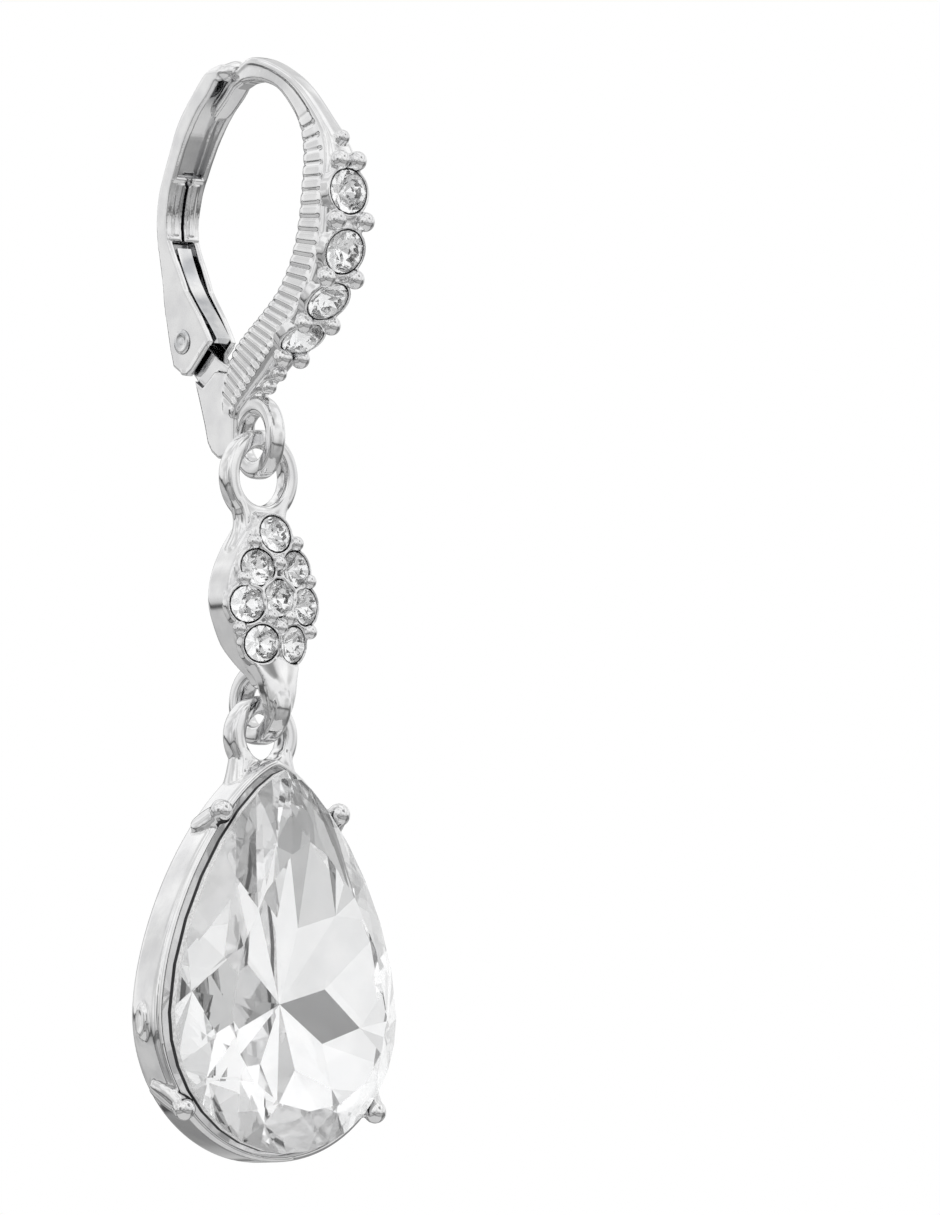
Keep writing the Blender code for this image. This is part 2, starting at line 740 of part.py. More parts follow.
def prong(group, head, foot, side):
    """A bead prong on its tapered lug, standing on the cup's wall beside the crystal's girdle."""
    radius = 0.5 * PRONG_DIAMETER
    low = wall_point(foot, CUP_CLEARANCE + 0.7 * CUP_WALL, -0.25 * CUP_RIM, side)
    high = wall_point(head, CUP_CLEARANCE + radius, -0.95 * GIRDLE_FRONT, side)
    along = high - low
    profile = [(0.25 * radius, 0.0), (0.7 * radius, 0.4 * along.length), (0.85 * radius, along.length)]
    lug = turned("lug", group, low, along.normalized(), profile, BEAD_SIDES)
    return [lug, bead("prong", group, high, along.normalized(), PRONG_DIAMETER)]


def boss(group, centre, reach):
    """A small oval pad on the cup's side, from inside the wall out to the reach along X."""
    rings = []
    for share, size in ((0.0, 1.0), (0.75, 1.0), (1.0, 0.7)):
        ring = []
        for index in range(BEAD_SIDES):
            turn = 2 * math.pi * index / BEAD_SIDES
            y, z = 0.5 * BOSS_BREADTH * size * math.cos(turn), 0.5 * BOSS_HEIGHT * size * math.sin(turn)
            ring.append(centre + Vector((reach * share, y, z)))
        rings.append(ring)
    return loft("boss", group, rings)


def build_setting(group, tools):
    """The pear cup: closed back, wall and open front, with its loop, prongs and bosses."""
    wall = CUP_CLEARANCE + CUP_WALL
    back = -GIRDLE_FRONT + PAVILION_DEPTH + 0.5 * GIRDLE_HEIGHT + CUP_CLEARANCE + CUP_FLOOR
    rings = [
        pear_ring(wall, back, scale=0.90),
        pear_ring(wall, back - 0.35 * CUP_WALL),
        pear_ring(wall, -CUP_RIM + 0.3 * CUP_WALL),
        pear_ring(wall - 0.3 * CUP_WALL, -CUP_RIM),
        pear_ring(CUP_CLEARANCE, -CUP_RIM),
        pear_ring(CUP_CLEARANCE, -CUP_RIM + 0.1 * PAVILION_DEPTH),
        pear_ring(CUP_CLEARANCE, back - CUP_FLOOR, scale=0.34),
    ]
    setting = loft("drop_setting", group, rings)
    pieces = [oval_loop("drop_loop", tools, Vector((0, PLATE_FOOT_Y, DROP_LOOP_Z)), Vector((1, 0, 0)), DROP_LOOP)]
    for head, foot in PRONGS:
        for side in (-1, 1):
            pieces += prong(tools, head, foot, side)
    x, z = pear(wall, BOSS_QUARTER)
    for side in (-1, 1):
        centre = Vector((side * (x - 0.5 * CUP_WALL), -0.35 * CUP_RIM, PEAR_CENTRE_Z + z))
        pieces.append(boss(tools, centre, side * (0.5 * CUP_WALL + BOSS_STAND)))
    combine(setting, pieces, "UNION")
    return setting


def build_crystal(group):
    """The pear-cut crystal: table, crown facets, girdle and pavilion."""
    girdle = -GIRDLE_FRONT
    rings = [
        pear_ring(0.0, girdle + 0.5 * GIRDLE_HEIGHT + PAVILION_DEPTH, scale=0.12),
        pear_ring(0.0, girdle + 0.5 * GIRDLE_HEIGHT),
        pear_ring(0.0, girdle - 0.5 * GIRDLE_HEIGHT),
        pear_ring(0.0, girdle - 0.5 * GIRDLE_HEIGHT - 0.65 * CROWN_HEIGHT, scale=0.80),
        pear_ring(0.0, girdle - 0.5 * GIRDLE_HEIGHT - CROWN_HEIGHT, scale=0.62),
    ]
    return loft("pear_crystal", group, rings)


def axis_empty(name, group, place):
    """An empty on a joint's axis."""
    empty = bpy.data.objects.new(name, None)
    empty.location = place
    empty.empty_display_size = 2 * MM
    group.objects.link(empty)
    return empty


def hang(empty, objects):
    bpy.context.view_layer.update()
    for obj in objects:
        obj.parent = empty
        obj.matrix_parent_inverse = empty.matrix_world.inverted()


def dress(objects, finish, colour, metallic, roughness):
    """Give each object its own material, and smooth shading up to SMOOTH_ANGLE."""
    for obj in objects:
        obj.data.materials.clear()
        obj.data.materials.append(material(f"{obj.name}_{finish}", colour, metallic, roughness))
        if metallic:
            obj.data.shade_smooth()
            obj.data.set_sharp_from_angle(angle=SMOOTH_ANGLE)


def main():
    clear_scene()
    group = collection("leverback_earring")
    tools = collection("cutters")
    hook = build_hook(group, tools)
    lever = build_lever(group, tools)
    tongue = build_tongue(group)
    pin = build_pin(group)
    link = build_link(group, tools)
    setting = build_setting(group, tools)
    crystal = build_crystal(group)
    hook_stones = [
        stone(f"hook_stone_{number}", group, arm_section(row)[1], arm_normal(row), HOOK_STONE_DIAMETER)
        for number, row in enumerate(HOOK_STONES, 1)
    ]
    link_stones = [
        stone(f"link_stone_{number}", group, plate_face(x, z), plate_normal(x, z), LINK_STONE_DIAMETER)
        for number, (x, z) in enumerate(LINK_STONES, 1)
    ]
    dress([hook, lever, tongue, pin, link, setting], "plate", (0.80, 0.81, 0.82), 1.0, 0.12)
    dress(hook_stones + link_stones + [crystal], "glass", (0.92, 0.94, 0.96), 0.0, 0.02)
    hang(axis_empty("lever_hinge_axis", group, hook_point(PIVOT)), [lever, tongue])
    hang(axis_empty("link_swing_axis", group, Vector((0, RING_CENTRE.y, LINK_PIVOT_Z))), [link] + link_stones)
    hang(axis_empty("drop_swing_axis", group, Vector((0, PLATE_FOOT_Y, DROP_PIVOT_Z))), [setting, crystal])


main()
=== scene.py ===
"""Looks of a leverback drop earring: rhodium-plated metal, foiled round stones and a foiled pear crystal."""

import math

import bmesh
import bpy
from mathutils import Matrix, Vector


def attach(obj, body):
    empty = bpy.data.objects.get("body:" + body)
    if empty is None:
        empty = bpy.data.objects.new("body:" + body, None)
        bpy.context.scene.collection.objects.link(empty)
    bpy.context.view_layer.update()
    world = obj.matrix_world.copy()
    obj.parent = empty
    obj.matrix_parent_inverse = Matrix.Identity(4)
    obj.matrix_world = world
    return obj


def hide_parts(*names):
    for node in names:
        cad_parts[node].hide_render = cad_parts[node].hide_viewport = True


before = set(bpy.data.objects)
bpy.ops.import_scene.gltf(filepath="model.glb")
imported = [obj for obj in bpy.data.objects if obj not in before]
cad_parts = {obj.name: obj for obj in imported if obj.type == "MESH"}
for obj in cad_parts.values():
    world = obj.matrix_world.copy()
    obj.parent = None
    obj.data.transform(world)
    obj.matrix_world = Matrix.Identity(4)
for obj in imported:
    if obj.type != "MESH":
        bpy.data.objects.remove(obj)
MM = 0.001
X_AXIS, Y_AXIS, Z_AXIS = Vector((1, 0, 0)), Vector((0, 1, 0)), Vector((0, 0, 1))
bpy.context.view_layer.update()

# Hook, as in the solid: reach of the arm and drop of the base
HOOK_REACH = 7.1 * MM
HOOK_DROP = 17.8 * MM
ARM_WIDTH = 2.3 * MM
ARM = [
    # y in, z in, y out, z out, width
    (0.080, -0.002, 0.112, 0.044, 0.50),
    (0.000, 0.000, 0.007, 0.064, 0.52),
    (-0.085, -0.002, -0.106, 0.059, 0.52),
    (-0.183, -0.011, -0.232, 0.042, 0.50),
    (-0.282, -0.026, -0.359, 0.018, 0.47),
    (-0.359, -0.049, -0.465, -0.006, 0.45),
    (-0.437, -0.081, -0.577, -0.039, 0.44),
    (-0.500, -0.112, -0.683, -0.079, 0.44),
    (-0.550, -0.149, -0.789, -0.124, 0.46),
    (-0.585, -0.188, -0.890, -0.171, 0.54),
    (-0.620, -0.230, -0.968, -0.230, 0.72),
    (-0.640, -0.287, -1.000, -0.292, 0.92),
    (-0.635, -0.343, -1.010, -0.348, 1.00),
    (-0.610, -0.399, -1.003, -0.416, 1.00),
    (-0.560, -0.461, -0.965, -0.489, 1.00),
    (-0.478, -0.520, -0.882, -0.559, 0.98),
    (-0.363, -0.574, -0.746, -0.628, 0.94),
    (-0.195, -0.622, -0.555, -0.688, 0.88),
    (-0.015, -0.665, -0.370, -0.740, 0.80),
    (0.135, -0.706, -0.185, -0.794, 0.72),
    (0.215, -0.758, -0.030, -0.836, 0.68),
    (0.272, -0.815, 0.085, -0.871, 0.66),
    (0.282, -0.876, 0.113, -0.893, 0.62),
]
ARM_HALF = 0.46  # half width of the arm's sides as a share of its full width
ARM_SHAPE = [
    # depth share, half-width share
    (0.00, 0.66), (0.03, 0.82), (0.09, 0.95), (0.18, 1.00), (0.40, 1.00), (0.60, 1.00), (0.70, 1.03),
    (0.78, 1.08), (0.86, 1.06), (0.93, 0.97), (0.98, 0.82), (1.00, 0.62), (1.01, 0.30),
]
PLAIN_STEP = 0.1  # rows of the arm between rings where it is plain
# Tip of the arm in the lever's pocket, by rows of the lever
TIP_STEPS = 12
TIP_START = 4.15
TIP_STEP = 0.26
TIP_INSET = 0.46 * MM
TIP_DEPTH = 0.75 * MM
TIP_WIDTH = 1.08 * MM
# Ribs on the arm's sides: narrow grooves above, close round ribs below
RIB_ROWS = (7.3, 21.5)
RIB_DEPTH = 0.085 * MM
RIB_PITCH_TOP = 0.74 * MM
RIB_PITCH_FOOT = 0.43 * MM
RIB_STEPS = 420
GROOVE_SHARPNESS = 7.0
RIB_SHARPNESS = 2.2
RIB_BLEND = 2.2  # grooves have become ribs at 1 / RIB_BLEND of the stretch
# Plain border in front of the ribs, in depth shares
BORDER_TOP = 0.74
BORDER_FOOT = 0.90
BORDER_SOFT = 0.10

# Base of the hook: knuckle round the pivot, neck and block
PIVOT = (0.676, -0.677)
KNUCKLE = 1.0 * MM
KNUCKLE_ANGLES = [-50 + 9 * k for k in range(27)]
NECK = [(0.366, -0.730), (0.200, -0.765), (0.200, -0.880), (0.470, -0.880), (0.535, -0.820), (0.600, -0.780)]
NECK_HALF = 0.365 * MM
BLOCK = [
    (0.200, -0.775), (0.350, -0.765), (0.490, -0.805), (0.575, -0.785), (0.506, -0.860), (0.465, -0.907),
    (0.430, -0.955), (0.385, -0.980), (0.310, -1.000), (0.200, -0.996), (0.135, -0.970), (0.125, -0.870),
]
BLOCK_HALF = 0.65 * MM

# Lever: its back and the front edge of its channel
LEVER = [
    # y back, z back, y front, z front
    (0.160, 0.054, 0.147, 0.008),
    (0.225, 0.051, 0.184, 0.008),
    (0.292, 0.034, 0.223, -0.003),
    (0.366, 0.009, 0.293, -0.027),
    (0.514, -0.039, 0.435, -0.073),
    (0.662, -0.101, 0.572, -0.130),
    (0.761, -0.163, 0.659, -0.184),
    (0.817, -0.219, 0.708, -0.235),
    (0.859, -0.272, 0.747, -0.283),
    (0.894, -0.343, 0.779, -0.347),
    (0.887, -0.404, 0.772, -0.400),
    (0.860, -0.511, 0.745, -0.507),
    (0.850, -0.579, 0.735, -0.575),
    (0.825, -0.663, 0.711, -0.655),
    (0.780, -0.740, 0.668, -0.730),
]
LEVER_DEPTH = 0.82 * MM
LEVER_WALL = 0.30 * MM
LEVER_TOP_WIDTH = 2.35 * MM
LEVER_FOOT_WIDTH = 1.65 * MM
LEVER_BEVEL = 0.16 * MM
LEVER_BOW = [
    # share of the height from the top, how far the bent sheet bows back from its solid in mm
    (-0.10, 0.20), (0.00, 0.46), (0.05, 0.52), (0.12, 0.38), (0.30, 0.15),
    (0.46, 0.38), (0.62, 0.36), (0.80, 0.22), (1.00, 0.06), (1.30, 0.00),
]
# Rows of the lever at its openings
POCKET_END = 7.0
FORK_START = 10.0
FORK_END = 12.4
FOOT_START = 12.3
FORK_EDGE = [
    (0.668, -0.767), (0.620, -0.770), (0.370, -0.684), (0.479, -0.612), (0.613, -0.539), (0.718, -0.449),
]
FOOT_CORNERS = [(1.0, -0.95), (0.2, -0.95)]
PAST_FRONT = 1.4  # share of the channel's depth at which a cut has left it
PAST_FORK = 5.0
# Folded bars across the channel's front, their seam, dimples and notch
BAR_ROWS = (7.25, 9.75)
BAR_INSET = 0.74
BAR_SIDE = 0.44 * MM
BAR_WIDE = 0.33 * MM
BAR_DEEP = 0.32 * MM
SEAM_HALF = 0.08 * MM
DIMPLE_ROW = 7.75
DIMPLE_SIDE = 0.42 * MM
DIMPLE = 0.34 * MM
NOTCH_ROW = 7.1
NOTCH = 0.6 * MM
# Curled lips of the bars: (row, depth share), reach, radius
LIPS = [(7.05, 0.90), (9.9, 0.92)]
LIP_REACH = (0.22 * MM, 0.86 * MM)
LIP = 0.13 * MM
# Domed hood over the channel's top: half sizes along X, Z and Y
HOOD_ROW = 0.35
HOOD_INSET = 0.42
HOOD = (1.16 * MM, 0.55 * MM, 0.58 * MM)
HOOD_ROUND = 0.5 * MM
# Rolled edge at each side wall's foot
ROLLED_EDGE = [(0.690, -0.758), (0.630, -0.762), (0.580, -0.752), (0.400, -0.690)]
ROLLED_INSET = 0.09 * MM
ROLLED = 0.14 * MM

# Spring strip
TONGUE = [(0.783, -0.422), (0.745, -0.465), (0.690, -0.513), (0.590, -0.570), (0.478, -0.626), (0.375, -0.680)]
TONGUE_HALF = 0.40 * MM
TONGUE_THICK = 0.18 * MM
TONGUE_SECTION = [(1, 0.7), (1, -0.7), (0.9, -1), (-0.9, -1), (-1, -0.7), (-1, 0.7), (-0.9, 1), (0.9, 1)]

# Rivet; its heads' form is (share of the radius, height in mm)
RIVET_REACH = 0.86 * MM
RIVET_HEAD = 0.6 * MM
RIVET_SHANK = 0.35 * MM
RIVET_FORM = [
    (0.0, 0.02), (0.25, 0.03), (0.42, 0.0), (0.6, 0.07), (0.82, 0.08), (0.95, 0.04), (1.0, -0.03), (0.0, -0.05),
]
POINT = 0.0002 * MM  # stands for a radius of zero

# Beads beside the stones: row along the arm, and half spacing as a share of the bead's diameter
BEAD = 0.93 * MM
SMALL_BEAD = 0.75 * MM
LINK_BEAD = 0.70 * MM
BEAD_STAND = 0.25
LINK_BEAD_STAND = 0.16
HOOK_BEAD_PAIRS = [(10.3, 0.53), (12.85, 0.89), (14.85, 0.90), (16.5, 0.86), (18.0, 0.55)]
HOOK_BEADS = [9.3, 18.7, 19.35, 20.0]

# Round stones: names, turns in radians, and the table's height in the solids as a share of the radius
HOOK_STONES = [f"hook_stone_{k}" for k in range(1, 5)]
LINK_STONES = [f"link_stone_{k}" for k in range(1, 9)]
HOOK_STONE_TURN = 0.37
LINK_STONE_TURN = 0.29
SOLID_TABLE = 0.34
SEAT_GAP = 0.07 * MM
# Collar round a stone: (distance outside its edge, height over its girdle) in mm
COLLAR = [(0.06, 0.02), (0.10, 0.08), (0.17, 0.06), (0.20, -0.02)]
COLLAR_FOOT = -0.5
COLLAR_SPREAD = 0.1 * MM

# Loops: width, height, hole width, hole height, breadth
RING = (3.2 * MM, 3.95 * MM, 2.0 * MM, 2.15 * MM, 0.95 * MM)
RING_CENTRE = Vector((0, -0.028 * HOOK_REACH, -0.951 * HOOK_DROP))
LINK_LOOP = (4.2 * MM, 4.48 * MM, 2.68 * MM, 2.74 * MM, 1.0 * MM)
LINK_FOOT = (3.9 * MM, 3.9 * MM, 2.15 * MM, 2.1 * MM, 1.1 * MM)
DROP_LOOP = (3.88 * MM, 3.9 * MM, 2.2 * MM, 2.2 * MM, 1.1 * MM)
LOOP_PLAY = 0.58 * MM
TIP_LAP = 0.3 * MM

# Link plate
PLATE_WIDTH = 5.06 * MM
PLATE_HEIGHT = 7.6 * MM
PLATE_LAP = 0.1 * MM
PLATE_TOP_Y = -0.15 * MM
PLATE_FOOT_Y = -0.33 * MM
PLATE_BACK = 0.52 * MM
PLATE_FRONT = 1.33 * MM
PLATE_DOME = 0.5 * MM
PLATE_SINK = 0.16 * MM  # drop of the skin between the stones and their collars
PLATE = [
    # z, width, dome
    (0.000, 0.34, 0.00),
    (0.066, 0.50, 0.25),
    (0.164, 0.70, 0.50),
    (0.290, 0.89, 0.80),
    (0.414, 0.99, 1.00),
    (0.540, 0.99, 1.00),
    (0.664, 0.87, 1.00),
    (0.783, 0.70, 0.90),
    (0.908, 0.50, 0.70),
    (1.000, 0.32, 0.60),
]
PLATE_STEPS = 60
PLATE_ENDS = 3  # rings past each end
PLATE_ROUND = 3.6
PLATE_CORNER = 0.92
# Shares of the plate over which its back rises forward at the foot
BACK_RISE_START = 0.74
BACK_RISE_SPAN = 0.30
BACK_RISE = 2.1
TAIL = [
    # z, width, front and back as shares of the plate's front
    (0.760, 0.60, 1.20, 0.60),
    (0.900, 0.50, 1.45, 0.60),
    (1.000, 0.39, 1.62, 0.90),
    (1.090, 0.34, 1.67, 1.05),
    (1.170, 0.28, 1.64, 1.10),
    (1.240, 0.21, 1.50, 1.10),
]
TAIL_DOME = 0.16
LINK_BEADS = [
    (0.000, 0.270), (0.202, 0.602), (-0.202, 0.602), (0.000, 0.668), (0.743, 0.372), (-0.743, 0.372),
    (0.800, 0.680), (-0.800, 0.680), (0.478, 0.140), (-0.478, 0.140),
]
# Webs from the loop into the plate: start, waist, spread, rise and fall in mm
LINK_WEB = (1.5, 0.5, 0.1, 1.2, 2.7)
LINK_WEB_SIZE = 0.42 * MM

# Pear crystal and its cup
CRYSTAL_LENGTH = 18.0 * MM
CRYSTAL_WIDTH = 13.0 * MM
PEAR_SHOULDER = 1.7
PEAR_POINT = 0.72
PEAR_FOOT_PAD = 0.7
GIRDLE_Y = -2.0 * MM
CUP_CLEARANCE = 0.12 * MM
CUP_WALL = 0.45 * MM
CUP_RIM = 1.7 * MM
CUP_BACK = 0.47 * MM
CUP_STEPS = 192
CUP_WAIST_Y = -0.6 * MM
CUP_FLOOR = 0.3 * MM
CUP_FLOOR_SCALE = 0.34
CUP_FOOT = [
    # distance before the back in mm, scale of the outline
    (0.0, 0.02), (0.0, 0.5), (0.0, 0.90), (0.04, 0.95), (0.14, 0.985), (0.34, 1.0),
]
CUP_LIP = [
    # distance in from the wall's outside and behind the rim in mm
    (0.0, 0.25), (0.04, 0.05), (0.13, -0.05), (0.24, -0.10), (0.36, -0.07), (0.42, 0.04), (0.42, 0.5),
]
# Webs from the loop down the wall: start, spread, rise and fall in mm; radius and its narrowing
CUP_WEB = (1.2, 1.0, 1.0, 3.0)
CUP_WEB_SIZE = (0.46, 0.14)
# Prongs: bead, places of head and foot round the outline, form of the leaf-like lugs
PRONG = 1.1 * MM
PRONGS = [(0.58, 0.53), (-0.43, -0.32)]
LUG_WIDE = 1.18
LUG_NARROW = 0.12
LUG_THICK = (0.50, 0.45)
LUG_SINK = 0.25
# Side bosses: place round the outline, half sizes along Y and Z, form as (reach in mm, size)
BOSS_QUARTER = -0.035
BOSS_SINK = 0.1 * MM
BOSS_Y = -0.6 * MM
BOSS_HALF = (0.4 * MM, 0.85 * MM)
BOSS_FORM = [(-0.3, 1.0), (0.16, 1.0), (0.25, 0.93), (0.3, 0.75), (0.26, 0.5), (0.27, 0.2)]

# Facets of the stones
PEAR_LEVELS = {
    # level: share of the outline, depth behind the girdle's middle in mm
    "table": (0.70, -2.25), "star": (0.85, -1.42), "girdle front": (1.0, -0.42), "girdle back": (1.0, -0.12),
    "seat": (1.0, 0.14),
    "outer main": (0.67, 1.05), "inner main": (0.41, 1.55), "culet": (0.0, 2.0),
}
ROUND_LEVELS = {
    # level: share of the radius, height as a share of the radius
    "table": (0.56, 0.36), "star": (0.80, 0.20), "girdle front": (1.0, 0.03), "girdle back": (1.0, -0.03),
    "seat": (1.0, -0.09),
    "outer main": (0.74, -0.30), "inner main": (0.36, -0.56), "culet": (0.0, -0.78),
}
PEAR_TWIST = -0.02  # share of a turn that the back facets are turned toward the foot
PEAR_CULET_RISE = 0.5 * MM
# Painted reflection: the foil of each back facet gets a shade from 1 (bright) to 5 (deep), standing in for what
# that facet reflects; from the foot round
PEAR_MAIN_REFLECTIONS = [1, 1, 5, 2, 1, 1, 4, 1]
PEAR_HALF_REFLECTIONS = [1, 2, 1, 2, 1, 2, 3, 4, 2, 4, 1, 2, 1, 3, 1, 3]
PEAR_RIM_REFLECTIONS = [2, 1, 4, 1, 2, 1, 3, 1, 2, 1, 1, 3, 1, 5, 3, 1, 2, 4, 4, 1, 1, 2, 1, 3, 1, 4, 1, 3, 1, 2, 4, 1]
# Painted reflection shades of the round stones' back facets, by row
ROUND_FOIL_REFLECTIONS = {"main": [1, 3, 1, 4, 1, 2, 1, 4], "half": [1, 1, 3, 1, 4, 1, 1, 2, 1, 3, 1, 1, 4, 1, 2, 1],
               "rim": [1, 4, 1, 1, 3, 1, 2, 1, 4, 1, 1, 3, 1, 1, 4, 1]}
GROUND_EDGE = 6
# Painted shade: a dark band behind the girdle's ground edge stands for the shaded gap between stone and seat
GAP_SHADE_BAND = 7
CRYSTAL_IOR = 1.56

# Skins of the castings: grain, rounds of smoothing, share of triangles kept
HOOK_SKIN = (0.06 * MM, 4, 0.85)
LEVER_SKIN = (0.045 * MM, 4, 1.0)
LINK_SKIN = (0.055 * MM, 5, 1.0)
CUP_SKIN = (0.075 * MM, 6, 0.7)

# Camera: a long lens, 38 degrees round to the earring's left and a little below its middle
CAMERA_AZIMUTH = -38.0
CAMERA_ELEVATION = -4.0
CAMERA_DISTANCE = 0.48
CAMERA_LENS = 300.0
SENSOR = 36.0
LOOK_RIGHT = 10.1 * MM
LOOK_DOWN = 24.9 * MM

# Studio: floor, gradients from below to above, and cards in the metal's reflections
FLOOR_Z = -450 * MM
FLOOR_HALF = 0.4
METAL_SKY = [
    (0.00, "#8C8C8C"), (0.20, "#A0A0A0"), (0.36, "#BCBCBC"), (0.40, "#4C4C4C"), (0.43, "#D2D2D2"),
    (0.50, "#E6E6E6"), (0.60, "#F0F0F0"), (0.76, "#FBFBFB"), (1.00, "#FFFFFF"),
]
METAL_STRENGTH = 1.08
GLASS_SKY = [(0.00, "#E8E8E8"), (0.30, "#EEEEEE"), (0.45, "#FAFAFA"), (0.70, "#FFFFFF"), (1.00, "#F8F8F8")]
GLASS_STRENGTH = 1.12
CARDS = [
    # direction, cosines where the card starts and is full, tone
    ((-0.30, 0.90, -0.30), 0.920, 0.934, "#505050"),
    ((-0.30, 0.90, -0.30), 0.942, 0.958, "#C4C4C4"),
    ((-0.60, -0.76, -0.25), 0.958, 0.966, "#444444"),
    ((-0.60, -0.76, -0.25), 0.970, 0.979, "#B2B2B2"),
    ((0.90, -0.30, -0.30), 0.920, 0.985, "#7A7A7A"),
    ((0.45, 0.85, 0.10), 0.950, 0.985, "#6A6A6A"),
    ((-0.95, -0.25, 0.05), 0.960, 0.990, "#8A8A8A"),
    ((0.25, -0.75, 0.55), 0.970, 0.990, "#A8A8A8"),
]


def linear(code):
    """A linear colour from an sRGB hex code."""
    parts = [int(code[i:i + 2], 16) / 255 for i in (1, 3, 5)]
    return [p / 12.92 if p <= 0.04045 else ((p + 0.055) / 1.055) ** 2.4 for p in parts] + [1.0]


def fitted(tree, made, inputs=(), links=()):
    """Set a node's input values, and its links as (input, output that feeds it)."""
    for name, value in inputs:
        made.inputs[name].default_value = value
    for name, source in links:
        tree.links.new(source, made.inputs[name])
    return made


def node(tree, kind, inputs=(), links=(), **settings):
    """Add a node with its settings, input values and links."""
    made = tree.nodes.new(kind)
    for name, value in settings.items():
        setattr(made, name, value)
    return fitted(tree, made, inputs, links)


def noise(tree, place, scale, detail):
    """The factor of a noise texture."""
    inputs = [("Scale", scale), ("Detail", detail)]
    return node(tree, "ShaderNodeTexNoise", inputs, [("Vector", place)]).outputs["Fac"]


def ranged(tree, source, inputs, **settings):
    """A factor mapped to another range."""
    return node(tree, "ShaderNodeMapRange", inputs, [("Value", source)], **settings).outputs["Result"]


def ramp(tree, source, stops):
    """A colour ramp through (place, sRGB hex) stops."""
    made = node(tree, "ShaderNodeValToRGB", links=[("Fac", source)])
    elements = made.color_ramp.elements
    for place, _ in stops[2:]:
        elements.new(place)
    for element, (place, code) in zip(elements, stops):
        element.position = place
        element.color = linear(code)
    return made.outputs["Color"]


def principled(name):
    """A new material, its tree, its shader and the place on the object."""
    made = bpy.data.materials.new(name)
    made.use_nodes = True
    tree = made.node_tree
    return made, tree, tree.nodes["Principled BSDF"], node(tree, "ShaderNodeTexCoord").outputs["Object"]


def plated_metal(name, dull="#E8E8E9", painted_recess_shade="#55575A", polish=0.06, reach=0.28, open_at=0.6):
    """Rhodium plate over cast metal: bright, faintly cloudy, with fine polishing marks, and painted shade
    darkening its recesses.
    """
    made, tree, shader, place = principled(name)
    marks = node(tree, "ShaderNodeMapping", [("Scale", (9000.0, 2500.0, 9000.0))], [("Vector", place)])
    scratch = noise(tree, marks.outputs["Vector"], 1.0, 3.0)
    # Painted shade: ambient occlusion mixes a dark colour into recesses and crevices where shade falls.
    shade = node(tree, "ShaderNodeAmbientOcclusion", [("Distance", reach * MM)], samples=6)
    unshaded_share = ranged(tree, shade.outputs["AO"], [("From Min", 0.1), ("From Max", open_at)])
    tone = ramp(tree, noise(tree, place, 900.0, 4.0), [(0.35, dull), (0.62, "#F4F4F4")])
    colour = node(tree, "ShaderNodeMix", [("A", linear(painted_recess_shade))], [("Factor", unshaded_share), ("B", tone)],
                  data_type="RGBA")
    rough = ranged(tree, scratch, [("To Min", polish), ("To Max", polish + 0.07)])
    bump = node(tree, "ShaderNodeBump", [("Strength", 0.04), ("Distance", 0.01 * MM)], [("Height", scratch)])
    fitted(tree, shader, [("Metallic", 1.0)],
           [("Base Color", colour.outputs[2]), ("Roughness", rough), ("Normal", bump.outputs["Normal"])])
    return made


def crown_glass(name):
    """Clear lead-free crystal glass, cut and polished, with a faint grey film."""
    made, tree, shader, place = principled(name)
    film = ramp(tree, noise(tree, place, 900.0, 2.0), [(0.3, "#FAFBFC"), (0.7, "#FFFFFF")])
    fitted(tree, shader, [("Transmission Weight", 1.0), ("IOR", CRYSTAL_IOR), ("Roughness", 0.0)],
           [("Base Color", film)])
    return made


def mirror_foil(name, tone, worn, polish=0.02, mirror=0.7, glow=0.0, fineness=600.0, glow_after=0.5):
    """Silver foil on a back facet of a stone; the worn tone shows through as fine grain.

    Where light has already been reflected inside the stone, a share of glow stands for its further bounces.
    """
    made, tree, shader, place = principled(name)
    silver = ramp(tree, noise(tree, place, fineness, 3.0), [(0.35, worn), (0.65, tone)])
    depth = node(tree, "ShaderNodeLightPath").outputs["Glossy Depth"]
    deep = node(tree, "ShaderNodeMath", [(1, glow_after)], [(0, depth)], operation="GREATER_THAN")
    share = node(tree, "ShaderNodeMath", [(1, glow)], [(0, deep.outputs["Value"])], operation="MULTIPLY")
    fitted(tree, shader, [("Metallic", mirror), ("Roughness", polish)],
           [("Base Color", silver), ("Emission Color", silver), ("Emission Strength", share.outputs["Value"])])
    return made


def foil_set(name, mirror, glow):
    """Silver foils from bright to deep as painted reflections, the ground edge of the girdle with a painted
    glow, and a dark band of painted shade behind it.
    """
    tones = [("bright", "#FFFFFF", "#FAFAFA"), ("pale", "#F6F6F6", "#F1F1F1"), ("soft", "#E6E6E6", "#E1E1E1"),
             ("grey", "#CCCCCC", "#C6C6C6"), ("deep", "#9C9C9C", "#969696")]
    foils = [mirror_foil(f"{name}_{word}", tone, worn, mirror=mirror, glow=glow) for word, tone, worn in tones]
    # Painted light: the ground edge glows at every bounce depth, so the band reads bright though it lies in
    # shade
    ground = mirror_foil(f"{name}_ground_edge", "#F4F4F4", "#CCCCCC", polish=0.4, mirror=0.2, glow=0.25,
                         fineness=7000.0, glow_after=-0.5)
    return foils + [ground, mirror_foil(f"{name}_painted_gap_shade", "#3A3A3C", "#2A2A2C", polish=0.5, mirror=0.0)]


def studio_paper():
    """Matt white background paper with fine fibre."""
    made, tree, shader, place = principled("studio_paper")
    fibre = ramp(tree, noise(tree, place, 120.0, 5.0), [(0.3, "#DCDCDC"), (0.7, "#E4E4E4")])
    fitted(tree, shader, [("Roughness", 0.9)], [("Base Color", fibre)])
    return made


def clamped(value):
    return min(1.0, max(0.0, value))


def eased(share):
    return share * share * (3 - 2 * share)


def power(value, exponent):
    """A power that keeps the sign."""
    return math.copysign(abs(value) ** exponent, value)


def turns(count):
    """Angles evenly round a full turn."""
    return [2 * math.pi * k / count for k in range(count)]


def hook_point(place):
    """A point of the middle plane from shares of the hook's reach and drop."""
    return Vector((0, place[0] * HOOK_REACH, place[1] * HOOK_DROP))


